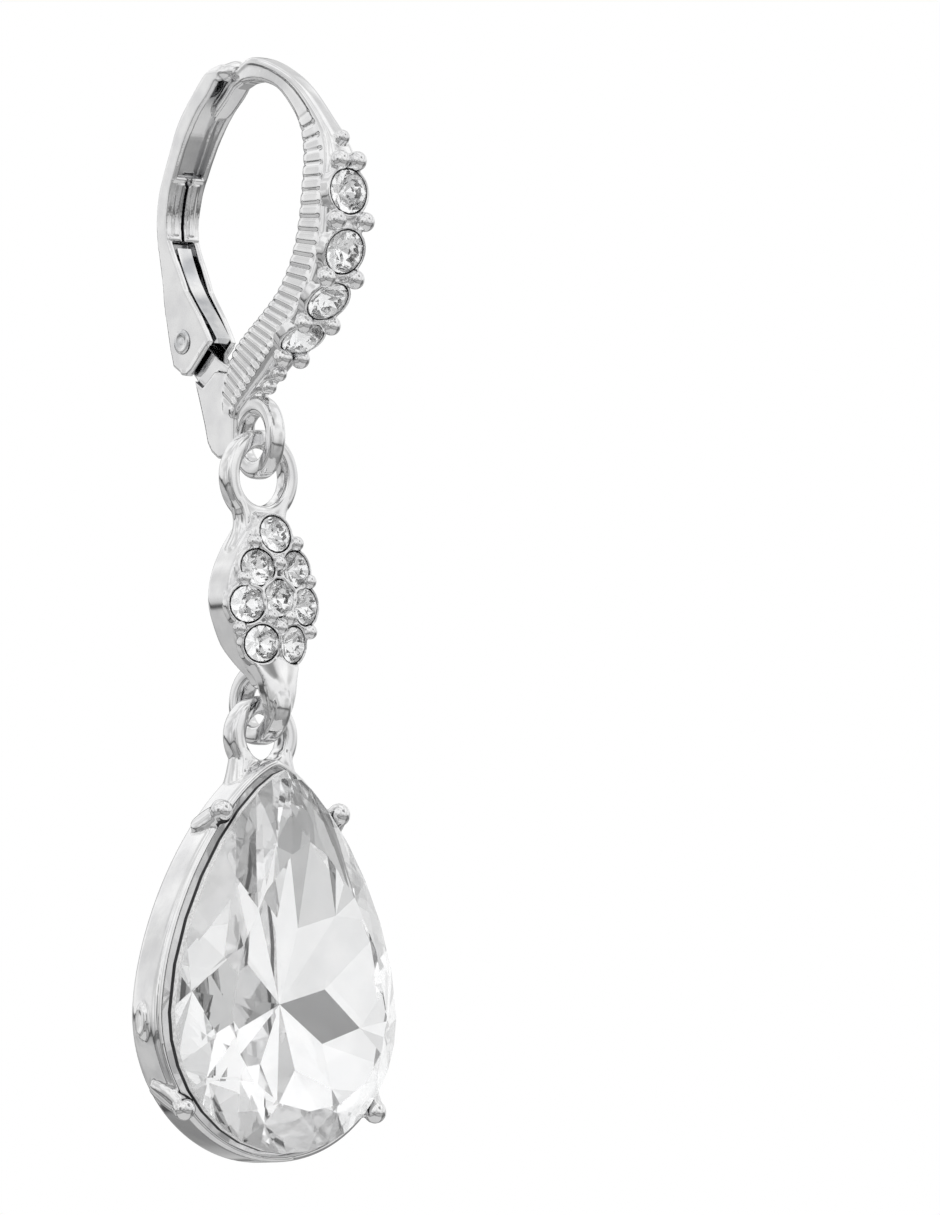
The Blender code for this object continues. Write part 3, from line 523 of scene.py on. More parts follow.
def smooth_row(rows, at):
    """The row at a fractional index, on a smooth curve through the rows."""
    low = min(max(int(math.floor(at)), 0), len(rows) - 2)
    t = at - low
    before, start, end, after = (rows[min(max(low + k, 0), len(rows) - 1)] for k in (-1, 0, 1, 2))
    return [
        0.5 * (2 * b + (c - a) * t + (2 * a - 5 * b + 4 * c - d) * t * t + (3 * b - a - 3 * c + d) * t ** 3)
        for a, b, c, d in zip(before, start, end, after)
    ]


def placed(name, bm):
    """An object with the bmesh as its mesh."""
    mesh = bpy.data.meshes.new(name)
    bm.to_mesh(mesh)
    bm.free()
    obj = bpy.data.objects.new(name, mesh)
    bpy.context.scene.collection.objects.link(obj)
    return obj


def mesh_object(name, *shells):
    """An object whose mesh holds the shells; each shell is a function that adds one closed body to a bmesh."""
    whole = bmesh.new()
    for shell in shells:
        one = bmesh.new()
        shell(one)
        bmesh.ops.recalc_face_normals(one, faces=one.faces)
        if one.calc_volume(signed=True) < 0:
            bmesh.ops.reverse_faces(one, faces=one.faces)
        part = bpy.data.meshes.new("shell")
        one.to_mesh(part)
        one.free()
        whole.from_mesh(part)
        bpy.data.meshes.remove(part)
    return placed(name, whole)


def rings_shell(rings, closed=False):
    """A shell through rings of the same number of points, capped unless it closes on itself."""

    def build(bm):
        rows = [[bm.verts.new(point) for point in ring] for ring in rings]
        following = rows[1:] + rows[:1] if closed else rows[1:]
        for lower, upper in zip(rows, following):
            for i in range(len(lower)):
                j = (i + 1) % len(lower)
                bm.faces.new((lower[i], lower[j], upper[j], upper[i]))
        if not closed:
            bm.faces.new(rows[0][::-1])
            bm.faces.new(rows[-1])
        bm.normal_update()
        bmesh.ops.triangulate(bm, faces=[face for face in bm.faces if len(face.verts) > 4])

    return build


def outline_shell(points, half):
    """A flat outline in the YZ plane, half as thick each way along X."""
    return rings_shell([[point + X_AXIS * x for point in points] for x in (-half, half)])


def oval_shell(centre, wide, tall, deep, around=32, along=20):
    """An ellipsoid with half sizes along X, Z and Y."""

    def build(bm):
        place = Matrix.Translation(centre) @ Matrix.Diagonal((wide, deep, tall, 1.0))
        bmesh.ops.create_uvsphere(bm, u_segments=around, v_segments=along, radius=1.0, matrix=place)

    return build


def ball_shell(centre, diameter):
    def build(bm):
        bmesh.ops.create_uvsphere(bm, u_segments=28, v_segments=18, radius=0.5 * diameter,
                                  matrix=Matrix.Translation(centre))

    return build


def turned_shell(centre, axis, profile, sides=40, closed=False):
    """A profile of (radius, height) turned round an axis."""
    turn = Z_AXIS.rotation_difference(axis)
    out, side, up = turn @ X_AXIS, turn @ Y_AXIS, turn @ Z_AXIS
    return rings_shell([oval(centre + up * z, out * r, side * r, sides) for r, z in profile], closed)


def bar_shell(low, high, radius):
    """A round bar with domed ends between two points."""
    reach = (high - low).length
    profile = [(POINT, -0.6 * radius), (0.7 * radius, -0.35 * radius), (radius, 0.1 * radius),
               (radius, reach - 0.1 * radius), (0.7 * radius, reach + 0.35 * radius),
               (POINT, reach + 0.6 * radius)]
    return turned_shell(low, (high - low).normalized(), profile, sides=20)


def oval(middle, across, up, count=24):
    """Points round an oval with two half axes."""
    return [middle + across * math.cos(a) + up * math.sin(a) for a in turns(count)]


def rod_shell(points, radius):
    """A round rod through points of a plane across X."""
    rings = []
    for k, point in enumerate(points):
        along = (points[min(k + 1, len(points) - 1)] - points[max(k - 1, 0)]).normalized()
        rings.append(oval(point, X_AXIS * radius, along.cross(X_AXIS).normalized() * radius, 16))
    return rings_shell(rings)


def web_shell(path, steps=12):
    """A web of metal down a path; path(t) gives its middle and its half sizes along X and Y."""
    rings = []
    for k in range(steps + 1):
        middle, wide, deep = path(k / steps)
        rings.append(oval(middle, X_AXIS * wide, Y_AXIS * deep))
    return rings_shell(rings)


def loop_shell(centre, across, sizes, steps=72, points=20, squareness=0.55):
    """An oval loop in the plane of across and Z, with a soft-cornered box section."""
    width, height, hole_width, hole_height, breadth = sizes
    normal = across.cross(Z_AXIS)
    rings = []
    for turn in turns(steps):
        hole = Vector((hole_width * math.cos(turn), hole_height * math.sin(turn))) * 0.5
        edge = Vector((width * math.cos(turn), height * math.sin(turn))) * 0.5
        ring = []
        for angle in turns(points):
            flat = hole.lerp(edge, 0.5 + 0.5 * power(math.cos(angle), squareness))
            side = 0.5 * breadth * power(math.sin(angle), squareness)
            ring.append(centre + across * flat.x + Z_AXIS * flat.y + normal * side)
        rings.append(ring)
    return rings_shell(rings, closed=True)


def applied(obj):
    """Replace the object's mesh by its evaluated one."""
    bpy.context.view_layer.update()
    mesh = bpy.data.meshes.new_from_object(obj.evaluated_get(bpy.context.evaluated_depsgraph_get()))
    obj.modifiers.clear()
    old = obj.data
    obj.data = mesh
    bpy.data.meshes.remove(old)
    return obj


def cut_by(obj, tool, overlapping=False):
    """Cut a tool object out of the object, and remove the tool."""
    cut = obj.modifiers.new("cut", "BOOLEAN")
    cut.operation = "DIFFERENCE"
    cut.solver = "EXACT"
    cut.use_self = overlapping
    cut.object = tool
    applied(obj)
    bpy.data.objects.remove(tool, do_unlink=True)
    return obj


def carved(obj, *cutters):
    """Cut shells, which may overlap, out of the object."""
    return cut_by(obj, mesh_object("cutter", *cutters), overlapping=True)


def joined(obj, *others):
    """Add other objects' meshes to the object's mesh, and remove them."""
    bm = bmesh.new()
    for part in (obj, *others):
        bm.from_mesh(part.data)
    bm.to_mesh(obj.data)
    bm.free()
    for part in others:
        bpy.data.objects.remove(part, do_unlink=True)
    return obj


def fused(obj, grain, relax, keep):
    """Fuse overlapping shells into one cast skin with soft edges, and keep a share of its triangles."""
    skin = obj.modifiers.new("skin", "REMESH")
    skin.mode = "VOXEL"
    skin.voxel_size = grain
    soft = obj.modifiers.new("soft", "SMOOTH")
    soft.factor = 0.5
    soft.iterations = relax
    if keep < 1.0:
        fewer = obj.modifiers.new("fewer", "DECIMATE")
        fewer.ratio = keep
    return applied(obj)


def finished(obj, body, nodes, materials, smooth=True):
    """Dress the object, put it on its body and let it stand for its CAD nodes."""
    for material in materials:
        obj.data.materials.append(material)
    if smooth:
        obj.data.shade_smooth()
    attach(obj, body)
    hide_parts(*nodes)
    return obj


def stone_place(name):
    """Centre on the girdle, axis and radius of a round stone, read from its solid."""
    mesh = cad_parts[name].data
    facing = {}
    for face in mesh.polygons:
        facing.setdefault(tuple(round(c, 1) for c in face.normal), []).append(face)
    table = max(facing.values(), key=lambda faces: sum(face.area for face in faces))
    axis = sum((face.normal * face.area for face in table), Vector()).normalized()
    points = [vert.co for vert in mesh.vertices]
    middle = sum(points, Vector()) / len(points)
    radius = max((p - middle - axis * (p - middle).dot(axis)).length for p in points)
    top = max((p - middle).dot(axis) for p in points)
    return middle + axis * (top - SOLID_TABLE * radius), axis, radius


def seat_cutter(name):
    """A cutter for a stone's seat: a cone behind the girdle, open in front."""
    centre, axis, radius = stone_place(name)
    wide = radius + SEAT_GAP
    profile = [(0.2 * radius, -0.95 * radius), (wide, -0.15 * radius), (wide, 1.5 * radius)]
    return turned_shell(centre, axis, profile)


def collar_shell(name):
    """The thin bright collar round a stone."""
    centre, axis, radius = stone_place(name)
    foot = COLLAR_FOOT * radius
    profile = [(radius + out * MM, height * MM) for out, height in COLLAR]
    profile = [(profile[0][0], foot), *profile, (profile[-1][0] + COLLAR_SPREAD, foot)]
    return turned_shell(centre, axis, profile, closed=True)


def cut_stone(name, crown_count, main_count, tones, point):
    """A faceted stone with table, stars, kites and halves in front, and foiled mains and halves behind.

    point(level, share) gives the place of a corner at a share of the turn; level names a row of corners.
    tones(row, k) gives the painted reflection shade of a back facet's foil.
    """
    bm = bmesh.new()

    def row(level, count, offset=0.0):
        corners = [bm.verts.new(point(level, (k + offset) / count)) for k in range(count)]
        return lambda k: corners[k % count]

    def facet(material, *corners):
        bm.faces.new(corners).material_index = material

    top = row("table", crown_count)
    star = row("star", crown_count, 0.5)
    upper = row("girdle front", 2 * crown_count)
    edge = row("girdle back", 2 * crown_count)
    lower = row("seat", 2 * crown_count)
    outer = row("outer main", main_count)
    inner = row("inner main", main_count, 0.5)
    culet = bm.verts.new(point("culet", 0.0))
    facet(0, *[top(k) for k in range(crown_count)])
    for k in range(crown_count):
        facet(0, top(k), star(k), top(k + 1))
        facet(0, top(k), star(k - 1), upper(2 * k), star(k))
        facet(0, star(k), upper(2 * k), upper(2 * k + 1))
        facet(0, star(k), upper(2 * k + 1), upper(2 * k + 2))
    for k in range(2 * crown_count):
        facet(GROUND_EDGE, upper(k), edge(k), edge(k + 1), upper(k + 1))
        # Painted shade in the seat's gap, behind the ground edge
        facet(GAP_SHADE_BAND, edge(k), lower(k), lower(k + 1), edge(k + 1))
    steps = 2 * crown_count // main_count
    for k in range(main_count):
        facet(tones("main", k), culet, inner(k - 1), outer(k), inner(k))
        start = steps * k
        middle = lower(start + steps // 2)
        facet(tones("half", 2 * k), inner(k), outer(k), middle)
        facet(tones("half", 2 * k + 1), inner(k), middle, outer(k + 1))
        for j in range(steps):
            corner = outer(k) if j < steps // 2 else outer(k + 1)
            facet(tones("rim", start + j), corner, lower(start + j), lower(start + j + 1))
    bmesh.ops.recalc_face_normals(bm, faces=bm.faces)
    return placed(name, bm)


def build_round_stone(node_name, body, turn, glass, foils):
    centre, axis, radius = stone_place(node_name)
    swing = Z_AXIS.rotation_difference(axis)

    def point(level, share):
        reach, height = ROUND_LEVELS[level]
        angle = 2 * math.pi * share + turn
        return centre + swing @ Vector((reach * math.cos(angle), reach * math.sin(angle), height)) * radius

    obj = cut_stone(node_name.replace("stone", "chaton"), 8, 8, lambda row, k: ROUND_FOIL_REFLECTIONS[row][k], point)
    finished(obj, body, [node_name], [glass, *foils], smooth=False)


def arm_section(row):
    """Inner edge, outer edge and width of the arm at a row."""
    y_in, z_in, y_out, z_out, width = smooth_row(ARM, row)
    return hook_point((y_in, z_in)), hook_point((y_out, z_out)), width * ARM_WIDTH


def arm_normal(row):
    """Direction out of the arm's outer edge."""
    along = arm_section(row + 0.1)[1] - arm_section(row - 0.1)[1]
    return Vector((0, along.z, -along.y)).normalized() * (1 if along.z < 0 else -1)


def arm_ring(inner, outer, width, relief, border=BORDER_TOP):
    """Points round the arm: the side faces are cut back by the relief, the front border isn't."""
    half = ARM_HALF * width
    depth = outer - inner
    right, left = [], []
    for share, breadth in ARM_SHAPE:
        x = half * breadth - relief * clamped((border - share) / BORDER_SOFT)
        place = inner + depth * share
        right.append(place + X_AXIS * x)
        left.append(place - X_AXIS * x)
    return right + left[::-1]


def rib_relief(travel, total):
    """Cut at a distance along the ribbed stretch: narrow grooves first, then close round ribs."""
    pitch_change = (RIB_PITCH_FOOT - RIB_PITCH_TOP) / total
    phase = math.log((RIB_PITCH_TOP + pitch_change * travel) / RIB_PITCH_TOP) / pitch_change
    wave = 0.5 + 0.5 * math.cos(2 * math.pi * phase)
    sharpness = GROOVE_SHARPNESS + (RIB_SHARPNESS - GROOVE_SHARPNESS) * min(1.0, RIB_BLEND * travel / total)
    fade = min(1.0, travel / RIB_PITCH_TOP, (total - travel) / RIB_PITCH_FOOT)
    return RIB_DEPTH * wave ** sharpness * max(0.0, fade) ** 0.3


def lever_point(row, inset):
    """A point of the lever at a row, a distance in from its back."""
    y_back, z_back, y_front, z_front = smooth_row(LEVER, row)
    return hook_point((y_back, z_back)).lerp(hook_point((y_front, z_front)), inset / LEVER_DEPTH)


def tip_rings():
    """Rings of the arm's tip, which lies in the lever's pocket, from its rounded end."""
    rings = []
    for k in range(TIP_STEPS):
        row = TIP_START - TIP_STEP * k
        shrink = 1 - 0.5 * max(0.0, 1 - k / 2.0) ** 2
        outer, inner = lever_point(row, TIP_INSET), lever_point(row, TIP_INSET + TIP_DEPTH)
        middle = (outer + inner) / 2
        rings.append(arm_ring(middle.lerp(inner, shrink), middle.lerp(outer, shrink), TIP_WIDTH * shrink, 0.0))
    return rings


def ribbed_rings():
    """Rings of the arm's ribbed stretch, close enough to carry its ribs."""
    first, last = RIB_ROWS
    rows = [first + (last - first) * k / RIB_STEPS for k in range(RIB_STEPS + 1)]
    travel, reach = [0.0], 0.0
    for low, high in zip(rows, rows[1:]):
        a, b = arm_section(low), arm_section(high)
        reach += ((a[0] + a[1] - b[0] - b[1]) / 2).length
        travel.append(reach)
    rings = []
    for row, distance in zip(rows, travel):
        border = BORDER_TOP + (BORDER_FOOT - BORDER_TOP) * clamped(RIB_BLEND * distance / reach - 1.0)
        rings.append(arm_ring(*arm_section(row), rib_relief(distance, reach), border))
    return rings


def arm_rings():
    """Rings along the whole arm, from its tip to the hook's base."""
    plain = [arm_ring(*arm_section(PLAIN_STEP * k), 0.0) for k in range(int(RIB_ROWS[0] / PLAIN_STEP))]
    return tip_rings() + plain + ribbed_rings() + [arm_ring(*arm_section(len(ARM) - 1), 0.0)]


def hook_beads():
    """Beads beside, above and below the hook's stones."""
    shells = []
    for row, spread in HOOK_BEAD_PAIRS:
        for side in (-1, 1):
            place = arm_section(row)[1] + arm_normal(row) * BEAD_STAND * BEAD + X_AXIS * side * spread * BEAD
            shells.append(ball_shell(place, BEAD))
    for row in HOOK_BEADS:
        shells.append(ball_shell(arm_section(row)[1] + arm_normal(row) * BEAD_STAND * SMALL_BEAD, SMALL_BEAD))
    return shells


def build_hook(metal):
    """The hook in one casting."""
    seats = [seat_cutter(name) for name in HOOK_STONES]
    arm = carved(mesh_object("ear_hook_cast", rings_shell(arm_rings())), *seats)
    pivot = hook_point(PIVOT)
    neck = [pivot + KNUCKLE * Vector((0, math.cos(a), math.sin(a))) for a in map(math.radians, KNUCKLE_ANGLES)]
    neck += [hook_point(place) for place in NECK]
    block = [hook_point(place) for place in BLOCK]
    shells = [outline_shell(neck, NECK_HALF), outline_shell(block, BLOCK_HALF)]
    shells += [loop_shell(RING_CENTRE, Y_AXIS, RING), *hook_beads()]
    shells += [collar_shell(name) for name in HOOK_STONES]
    joined(arm, mesh_object("hook_trim", *shells))
    finished(fused(arm, *HOOK_SKIN), "hook", ["ear_hook"], [metal])


def lever_strip(first, last, inset, front, steps=6):
    """Outline between two rows of the lever and two distances from its back."""
    rows = [first + k / steps for k in range(int((last - first) * steps) + 1)]
    return [lever_point(row, inset) for row in rows] + [lever_point(row, front) for row in reversed(rows)]


def tapered(obj):
    """Narrow the lever from its top to its foot."""
    top, foot = lever_point(0, 0).z, hook_point(PIVOT).z
    for vert in obj.data.vertices:
        share = (top - vert.co.z) / (top - foot)
        narrower = 0.5 * (LEVER_TOP_WIDTH - LEVER_FOOT_WIDTH) * share
        vert.co.x -= math.copysign(narrower, vert.co.x) if share > 0 else 0.0
    return obj


def bowed(obj):
    """Bow the object back along with the lever's sheet, and round the hood's top corners."""
    top, foot = lever_point(0, 0).z, hook_point(PIVOT).z
    for vert in obj.data.vertices:
        share = min(max((top - vert.co.z) / (top - foot), LEVER_BOW[0][0]), LEVER_BOW[-1][0])
        for (low, start), (high, end) in zip(LEVER_BOW, LEVER_BOW[1:]):
            if low <= share <= high:
                vert.co.y += (start + (end - start) * eased((share - low) / (high - low))) * MM
                break
        near_top = max(0.0, 1 - (top - vert.co.z) / HOOD_ROUND)
        vert.co.x *= 1 - 0.3 * near_top ** 2
    return obj


def lever_sheet():
    """The lever as a solid strip with rounded edges, narrower at its foot."""
    last = len(LEVER) - 1
    outline = [lever_point(k / 6, 0.0) for k in range(last * 6 + 1)]
    outline += [hook_point(place) for place in FORK_EDGE]
    outline += [lever_point(k / 6, LEVER_DEPTH) for k in range(int(FORK_START) * 6, 0, -1)]
    sheet = mesh_object("lever_channel", outline_shell(outline, 0.5 * LEVER_TOP_WIDTH))
    edge = sheet.modifiers.new("edge", "BEVEL")
    edge.width = LEVER_BEVEL
    edge.segments = 3
    edge.limit_method = "ANGLE"
    edge.angle_limit = math.radians(50)
    return tapered(applied(sheet))


def folded(lever):
    """Open the strip into a channel: its pocket, fork and foot, and the seam between its folded bars."""
    inner = 0.5 * LEVER_TOP_WIDTH - LEVER_WALL
    beyond = Vector((0, -2 * LEVER_DEPTH, 0))
    pocket = lever_strip(0.0, POCKET_END, LEVER_WALL, PAST_FRONT * LEVER_DEPTH)
    pocket = [pocket[0] + beyond] + pocket + [pocket[-1] + beyond]
    fork = lever_strip(FORK_START, FORK_END, LEVER_WALL, PAST_FORK * LEVER_DEPTH)
    foot = [lever_point(FOOT_START, -LEVER_DEPTH), *[hook_point(place) for place in FOOT_CORNERS],
            lever_point(FOOT_START, PAST_FORK * LEVER_DEPTH)]
    for points in (pocket, fork, foot):
        cut_by(lever, tapered(mesh_object("opening", outline_shell(points, inner))))
    seam = lever_strip(POCKET_END - 0.5, FORK_START + 0.5, 0.5 * LEVER_DEPTH, PAST_FRONT * LEVER_DEPTH)
    return cut_by(lever, mesh_object("seam", outline_shell(seam, SEAM_HALF)))


def dimpled(lever):
    """Press the dimples and the notch where the folded bars meet below the pocket."""
    middle, aside = lever_point(DIMPLE_ROW, LEVER_DEPTH), X_AXIS * DIMPLE_SIDE
    notch = ball_shell(lever_point(NOTCH_ROW, LEVER_DEPTH), NOTCH)
    return carved(lever, ball_shell(middle - aside, DIMPLE), ball_shell(middle + aside, DIMPLE), notch)


def folded_bar(side):
    """The rounded face of one folded bar."""
    first, last = BAR_ROWS
    rings = []
    for k in range(25):
        row = first + (last - first) * k / 24
        middle = lever_point(row, BAR_INSET * LEVER_DEPTH) + X_AXIS * side * BAR_SIDE
        out = (lever_point(row, LEVER_DEPTH) - lever_point(row, 0)).normalized()
        rings.append(oval(middle, X_AXIS * BAR_WIDE, out * BAR_DEEP))
    return rings_shell(rings)


def curled_lips():
    """The curled lips at the top and the foot of the folded bars."""
    lips = []
    for row, inset in LIPS:
        for side in (-X_AXIS, X_AXIS):
            near, far = (lever_point(row, inset * LEVER_DEPTH) + side * reach for reach in LIP_REACH)
            lips.append(bar_shell(near, far, LIP))
    return lips


def rolled_edge(side):
    """The rolled edge at the foot of a side wall."""
    wall = X_AXIS * side * (0.5 * LEVER_TOP_WIDTH - ROLLED_INSET)
    return rod_shell([hook_point(place) + wall for place in ROLLED_EDGE], ROLLED)


def build_lever(metal):
    """The lever, folded from sheet."""
    lever = dimpled(folded(lever_sheet()))
    bars = mesh_object("bars", folded_bar(-1), folded_bar(1), *curled_lips())
    hood = oval_shell(lever_point(HOOD_ROW, HOOD_INSET * LEVER_DEPTH), *HOOD)
    rolled = tapered(mesh_object("rolled", hood, rolled_edge(-1), rolled_edge(1)))
    bowed(fused(joined(lever, bars, rolled), *LEVER_SKIN))
    finished(lever, "lever", ["lever"], [metal])


def build_tongue(metal):
    """The flat spring strip in the lever's fork."""
    rings = []
    for k in range(41):
        at = k * (len(TONGUE) - 1) / 40
        here, before, after = (hook_point(smooth_row(TONGUE, at + step)) for step in (0.0, -0.05, 0.05))
        along = (after - before).normalized()
        across = Vector((0, along.z, -along.y)) * TONGUE_THICK
        rings.append([here + across * b + X_AXIS * TONGUE_HALF * a for a, b in TONGUE_SECTION])
    strip = bowed(mesh_object("spring_strip", rings_shell(rings)))
    finished(strip, "lever", ["spring_tongue"], [metal], smooth=False)


def build_pin(metal):
    """The rivet: a shank and two peened heads with a dimple each."""
    pivot = hook_point(PIVOT)
    profile = [(max(share * RIVET_HEAD, POINT), height * MM) for share, height in RIVET_FORM]
    shells = [turned_shell(pivot + X_AXIS * side * RIVET_REACH, X_AXIS * side, profile) for side in (-1, 1)]
    shells.append(turned_shell(pivot, X_AXIS, [(RIVET_SHANK, -RIVET_REACH), (RIVET_SHANK, RIVET_REACH)]))
    finished(mesh_object("hinge_rivet", *shells), "hook", ["hinge_pin"], [metal])


def wire_height(sizes):
    """Thickness of a loop's wire at its top and foot."""
    return 0.5 * (sizes[1] - sizes[3])


def below(pivot_z, upper, lower):
    """Height of a loop's middle where it hangs on an upper loop's wire."""
    return pivot_z + 0.5 * wire_height(upper) + LOOP_PLAY + wire_height(lower) - 0.5 * lower[1]


# Heights down the chain of loops, as in the solids
LINK_PIVOT_Z = RING_CENTRE.z - 0.5 * (RING[1] - wire_height(RING))
LINK_LOOP_Z = below(LINK_PIVOT_Z, RING, LINK_LOOP)
PLATE_TOP = LINK_LOOP_Z - 0.5 * LINK_LOOP[1] + PLATE_LAP
LINK_FOOT_Z = PLATE_TOP - PLATE_HEIGHT + 0.5 * PLATE_LAP + wire_height(LINK_FOOT) - 0.5 * LINK_FOOT[1]
DROP_PIVOT_Z = LINK_FOOT_Z - 0.5 * (LINK_FOOT[1] - wire_height(LINK_FOOT))
DROP_LOOP_Z = below(DROP_PIVOT_Z, LINK_FOOT, DROP_LOOP)
PEAR_TIP_Z = DROP_LOOP_Z - 0.5 * DROP_LOOP[1] + TIP_LAP
PEAR_CENTRE_Z = PEAR_TIP_Z - CRYSTAL_LENGTH + 0.5 * CRYSTAL_WIDTH


def plate_at(share):
    """Half width and dome height of the link's plate at a height share."""
    for index in range(len(PLATE) - 1):
        z0, z1 = PLATE[index][0], PLATE[index + 1][0]
        if z0 <= share <= z1:
            _, width, dome = smooth_row(PLATE, index + (share - z0) / (z1 - z0))
            return 0.5 * PLATE_WIDTH * width, PLATE_DOME * dome
    return 0.5 * PLATE_WIDTH * PLATE[-1][1], 0.0


def plate_face(x_share, z_share):
    """A point of the plate's domed front."""
    half, dome = plate_at(z_share)
    x = x_share * 0.5 * PLATE_WIDTH
    across = min(abs(x) / half, 1.0)
    return Vector((x, -PLATE_FRONT - dome * (1 - across ** 2), PLATE_TOP - z_share * PLATE_HEIGHT))


def plate_normal(x_share, z_share, step=0.04):
    """Direction out of the plate's front."""
    side = plate_face(x_share + step, z_share) - plate_face(x_share - step, z_share)
    down = plate_face(x_share, z_share + step) - plate_face(x_share, z_share - step)
    normal = side.cross(down).normalized()
    return normal if normal.y < 0 else -normal


def plate_rings():
    """Rings down the link's plate, closing round at both ends."""
    rings = []
    for k in range(-PLATE_ENDS, PLATE_STEPS + PLATE_ENDS + 1):
        share = k / PLATE_STEPS
        half, dome = plate_at(clamped(share))
        shrink = math.sqrt(1 - max(0.0, -k / PLATE_ROUND, (k - PLATE_STEPS) / PLATE_ROUND) ** 2)
        back = PLATE_BACK * (1 - BACK_RISE * eased(clamped((share - BACK_RISE_START) / BACK_RISE_SPAN)))
        corner = 0.8 * back if back > 0 else back
        flat = [(1.0, corner), (PLATE_CORNER, back), (-PLATE_CORNER, back), (-1.0, corner)]
        flat += [(j / 8 - 1, PLATE_SINK - PLATE_FRONT - dome * (1 - (j / 8 - 1) ** 2)) for j in range(17)]
        middle, z = 0.5 * (back - PLATE_FRONT), PLATE_TOP - share * PLATE_HEIGHT
        rings.append([Vector((x * half * shrink, middle + (y - middle) * shrink, z)) for x, y in flat])
    return rings


def tail_rings():
    """Rings down the tail that joins the plate to its foot loop."""
    rings = []
    for k in range(41):
        z_share, width, front, back = smooth_row(TAIL, k * (len(TAIL) - 1) / 40)
        half, z = 0.5 * PLATE_WIDTH * width, PLATE_TOP - z_share * PLATE_HEIGHT
        ring = [Vector((half, -PLATE_FRONT * back, z)), Vector((-half, -PLATE_FRONT * back, z))]
        for across in [j / 6 - 1 for j in range(13)]:
            ring.append(Vector((across * half, -PLATE_FRONT * (front - TAIL_DOME * across ** 2), z)))
        rings.append(ring)
    return rings


def link_web(side):
    """A web from the link's loop down into a shoulder of its plate."""
    start, waist, spread, rise, fall = LINK_WEB

    def path(t):
        x = side * (start - waist * math.sin(math.pi * min(1.0, 1.1 * t)) + spread * t) * MM
        middle = Vector((x, PLATE_TOP_Y - 0.2 * t * MM, PLATE_TOP + (rise - fall * t) * MM))
        return middle, 0.8 * LINK_WEB_SIZE, 1.2 * LINK_WEB_SIZE

    return web_shell(path)


def build_link(metal):
    """The link in one casting."""
    seats = [seat_cutter(name) for name in LINK_STONES]
    link = carved(mesh_object("link_cast", rings_shell(plate_rings())), *seats)
    joined(link, carved(mesh_object("link_tail", rings_shell(tail_rings())), *seats))
    shells = [loop_shell(Vector((0, PLATE_TOP_Y, LINK_LOOP_Z)), X_AXIS, LINK_LOOP),
              loop_shell(Vector((0, PLATE_FOOT_Y, LINK_FOOT_Z)), Y_AXIS, LINK_FOOT), link_web(-1), link_web(1)]
    for place in LINK_BEADS:
        out = plate_normal(*place) * LINK_BEAD_STAND * LINK_BEAD
        shells.append(ball_shell(plate_face(*place) + out, LINK_BEAD))
    shells += [collar_shell(name) for name in LINK_STONES]
    joined(link, mesh_object("link_trim", *shells))
    finished(fused(link, *LINK_SKIN), "link", ["link"], [metal])


def pear(pad, quarter):
    """A point of the padded pear outline on its +X side: quarter runs from -1 at the foot to 1 at the point."""
    side = 0.5 * CRYSTAL_WIDTH + pad
    foot = 0.5 * CRYSTAL_WIDTH + pad * PEAR_FOOT_PAD
    point = CRYSTAL_LENGTH - 0.5 * CRYSTAL_WIDTH + pad
    angle = 0.5 * math.pi * quarter
    if quarter <= 0:
        return side * math.cos(angle), foot * math.sin(angle)
    rise = math.sin(angle)
    return side * max(0.0, 1 - rise ** PEAR_SHOULDER) ** PEAR_POINT, point * rise


def pear_point(pad, turn, y, scale=1.0):
    """A point of the pear outline; turn runs from 0 at the foot through 0.5 at the point and back to 1."""
    quarter = (turn % 1.0) * 4 - 1
    side = 1.0
    if quarter > 1:
        quarter, side = 2 - quarter, -1.0
    x, z = pear(pad, quarter)
    return Vector((side * x * scale, y, PEAR_CENTRE_Z + z * scale))


def wall_point(quarter, pad, y, side):
    """A point a distance square out from the crystal's outline."""
    x, z = pear(0.0, quarter)
    x2, z2 = pear(0.0, quarter + 0.01)
    out = Vector((z2 - z, 0, x - x2)).normalized() * pad
    return Vector((side * (x + out.x), y, PEAR_CENTRE_Z + z + out.z))


def cup_rings():
    """Rings of the cup: its back, wall, rounded rim and inside."""
    wall = CUP_CLEARANCE + CUP_WALL
    floor_y = CUP_BACK - CUP_FLOOR
    profile = [(wall, CUP_BACK - before * MM, scale) for before, scale in CUP_FOOT]
    profile += [(wall, CUP_WAIST_Y, 1.0)]
    profile += [(wall - inward * MM, behind * MM - CUP_RIM, 1.0) for inward, behind in CUP_LIP]
    profile += [(CUP_CLEARANCE + 0.1 * MM, CUP_WAIST_Y, 1.0), (CUP_CLEARANCE, floor_y, CUP_FLOOR_SCALE),
                (CUP_CLEARANCE, floor_y, 0.02)]
    return [[pear_point(pad, k / CUP_STEPS, y, scale) for k in range(CUP_STEPS)] for pad, y, scale in profile]


def build_lug(head, foot, side):
    """A prong's bead on the rim and the leaf-like lug that carries it up the wall."""
    radius = 0.5 * PRONG
    low = wall_point(foot, CUP_CLEARANCE + CUP_WALL, -0.12 * CUP_RIM, side)
    high = wall_point(head, CUP_CLEARANCE + radius, 0.97 * GIRDLE_Y, side)
    along = (high - low).normalized()
    outward = wall_point(foot, 3 * MM, 0, side) - wall_point(foot, 0, 0, side)
    outward = (outward - along * outward.dot(along)).normalized()
    across = along.cross(outward)
    rings = []
    for k in range(25):
        t = k / 24
        leaf = math.sin(math.pi * min(1.0, 0.14 + 0.66 * t)) ** 0.7
        wide = LUG_WIDE * radius * (LUG_NARROW + (1 - LUG_NARROW) * leaf)
        thick = radius * (LUG_THICK[0] + LUG_THICK[1] * t ** 0.7)
        rings.append(oval(low.lerp(high, t) - outward * thick * LUG_SINK, across * wide, outward * thick))
    return [rings_shell(rings), ball_shell(high, PRONG)]


